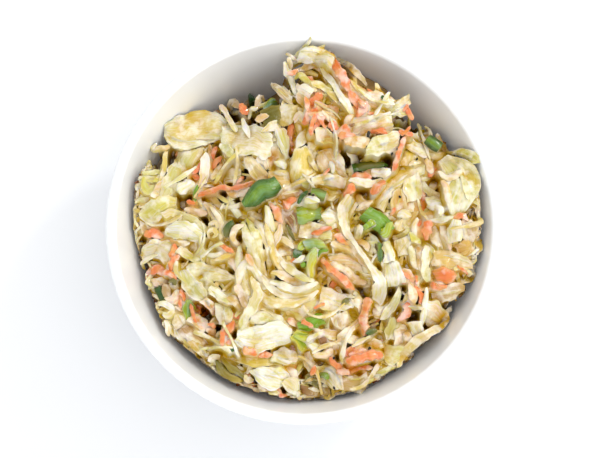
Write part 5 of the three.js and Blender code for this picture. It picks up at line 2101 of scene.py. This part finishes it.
def closed_film(cells, film):
    """A closed skin over chosen grid cells: its top follows the film, its underside lies a little lower."""
    size = len(GRID_LINE)
    i, j = np.nonzero(cells)
    corner = i * size + j
    quads = np.stack([corner, corner + size, corner + size + 1, corner + 1], axis=1)
    used, flat = np.unique(quads, return_inverse=True)
    quads = flat.reshape(quads.shape)
    top = np.column_stack([GRID_X.ravel()[used], GRID_Y.ravel()[used], film.ravel()[used]])
    under = top - (0, 0, FILM_THICKNESS)
    edges = np.vstack([quads[:, [k, (k + 1) % 4]] for k in range(4)])
    key = edges[:, 0] * len(used) + edges[:, 1]
    twin = edges[:, 1] * len(used) + edges[:, 0]
    open_edges = edges[~np.isin(key, twin)]
    a, b = open_edges.T
    sides = np.stack([b, a, a + len(used), b + len(used)], axis=1)
    faces = np.vstack([quads, quads[:, ::-1] + len(used), sides])
    return np.vstack([top, under]), faces


def make_dressing(pile, gaps, rng):
    """Creamy dressing between the pieces, stained by what lies round it and browned as painted shade, but
    not in the deepest gaps.
    """
    h = pile.h
    bridged = neighbourhood(neighbourhood(h, FILM_SPAN, np.maximum), FILM_SPAN, np.minimum)
    film = blurred(bridged, FILM_SMOOTH) - FILM_BELOW - FILM_GAPS * gaps
    film = film + FILM_RELIEF * waves(GRID_X, GRID_Y, FILM_WAVE, rng)
    shown = (film > h) & (film < h + FILM_MOST) & INSIDE
    near = neighbourhood(shown, FILM_UNDER, np.maximum)
    cells = near[:-1, :-1] & near[1:, :-1] & near[1:, 1:] & near[:-1, 1:]
    verts, faces = closed_film(cells, film)
    creamy = np.clip(0.4 + 0.4 * waves(verts[:, 0], verts[:, 1], CREAMY_LENGTH, rng), 0.1, 0.9)
    # Painted shade: the film takes its neighbours' colour, made browner and more golden.
    around = pile.pick(blurred_tint(pile, FILM_STAIN_REACH), verts[:, :2]) * FILM_SHADE_TINT
    batch = Batch()
    batch.add(verts, faces, blend_tint(around, DRESSING, creamy), verts)
    return batch


# ---------------------------------------------------------------- everything, in order

make_camera()
make_lights()
make_floor()

rng = np.random.default_rng(SEED)
BOWL_TOP = refine(top_of("bowl"))
HEAP_TOP = refine(top_of("coleslaw"))
HEAP_REACH = heap_reach(HEAP_TOP, BOWL_TOP)
INSIDE = (HEAP_TOP > BOWL_TOP + 0.5) & (edge_distance() > 1)

gaps = gap_depths()
core_lumps = CORE_RELIEF * waves(GRID_X, GRID_Y, CORE_LUMP, rng)
core_top = HEAP_TOP - CORE_DEPTH - CORE_IN_GAPS * gaps + core_lumps
pile = Pile(np.maximum(core_top, BOWL_TOP))
fill_heap(pile, HEAP_TOP - fill_depths() - gaps, rng)
fill_edge(pile, FINE_AT_EDGE, gaps, rng)
fill_valleys(pile, FINE_BELOW, gaps, rng)
for row in FIRST_LAID:
    lay_traced(pile, row, rng)
open_top = INSIDE & ~bare_leaves()
scatter(pile, open_top, STRAND_COUNT, loose_strand, rng)
scatter(pile, open_top, CRUMB_COUNT, carrot_crumb, rng)
fill_valleys(pile, FINE_ON_TOP, gaps, rng)
for row in LAST_LAID:
    lay_traced(pile, row, rng)
lay_pepper(pile, rng)

surface = Pile(blurred_inside(pile.h, SOAK_AND_SHADE_REACH))
surface.tint = blurred_tint(pile, STAIN_REACH)
cabbage = salad_material("cabbage", CABBAGE_LOOK)
looks = {
    "carrot_shreds": salad_material("carrot", CARROT_LOOK),
    "green_onion": salad_material("green_onion", ONION_LOOK),
    "pepper": salad_material("pepper", PEPPER_LOOK),
}
pieces = [make_core(core_top)]
for name, batch in BATCHES.items():
    bleed = BLEED.get(name, BLEED_CABBAGE)
    pieces.append(mesh_object(name, batch, looks.get(name, cabbage), surface, bleed))
pieces.append(mesh_object("dressing", make_dressing(pile, gaps, rng), dressing_material(), surface, 0))
for piece in pieces:
    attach(piece, "root")
    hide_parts("coleslaw")

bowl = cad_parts["bowl"]
bowl.data.materials.clear()
bowl.data.materials.append(glaze_material())
weld = bowl.modifiers.new("weld", "WELD")
weld.merge_threshold = 0.00001  # in metres
bowl.data.polygons.foreach_set("use_smooth", np.ones(len(bowl.data.polygons), bool))
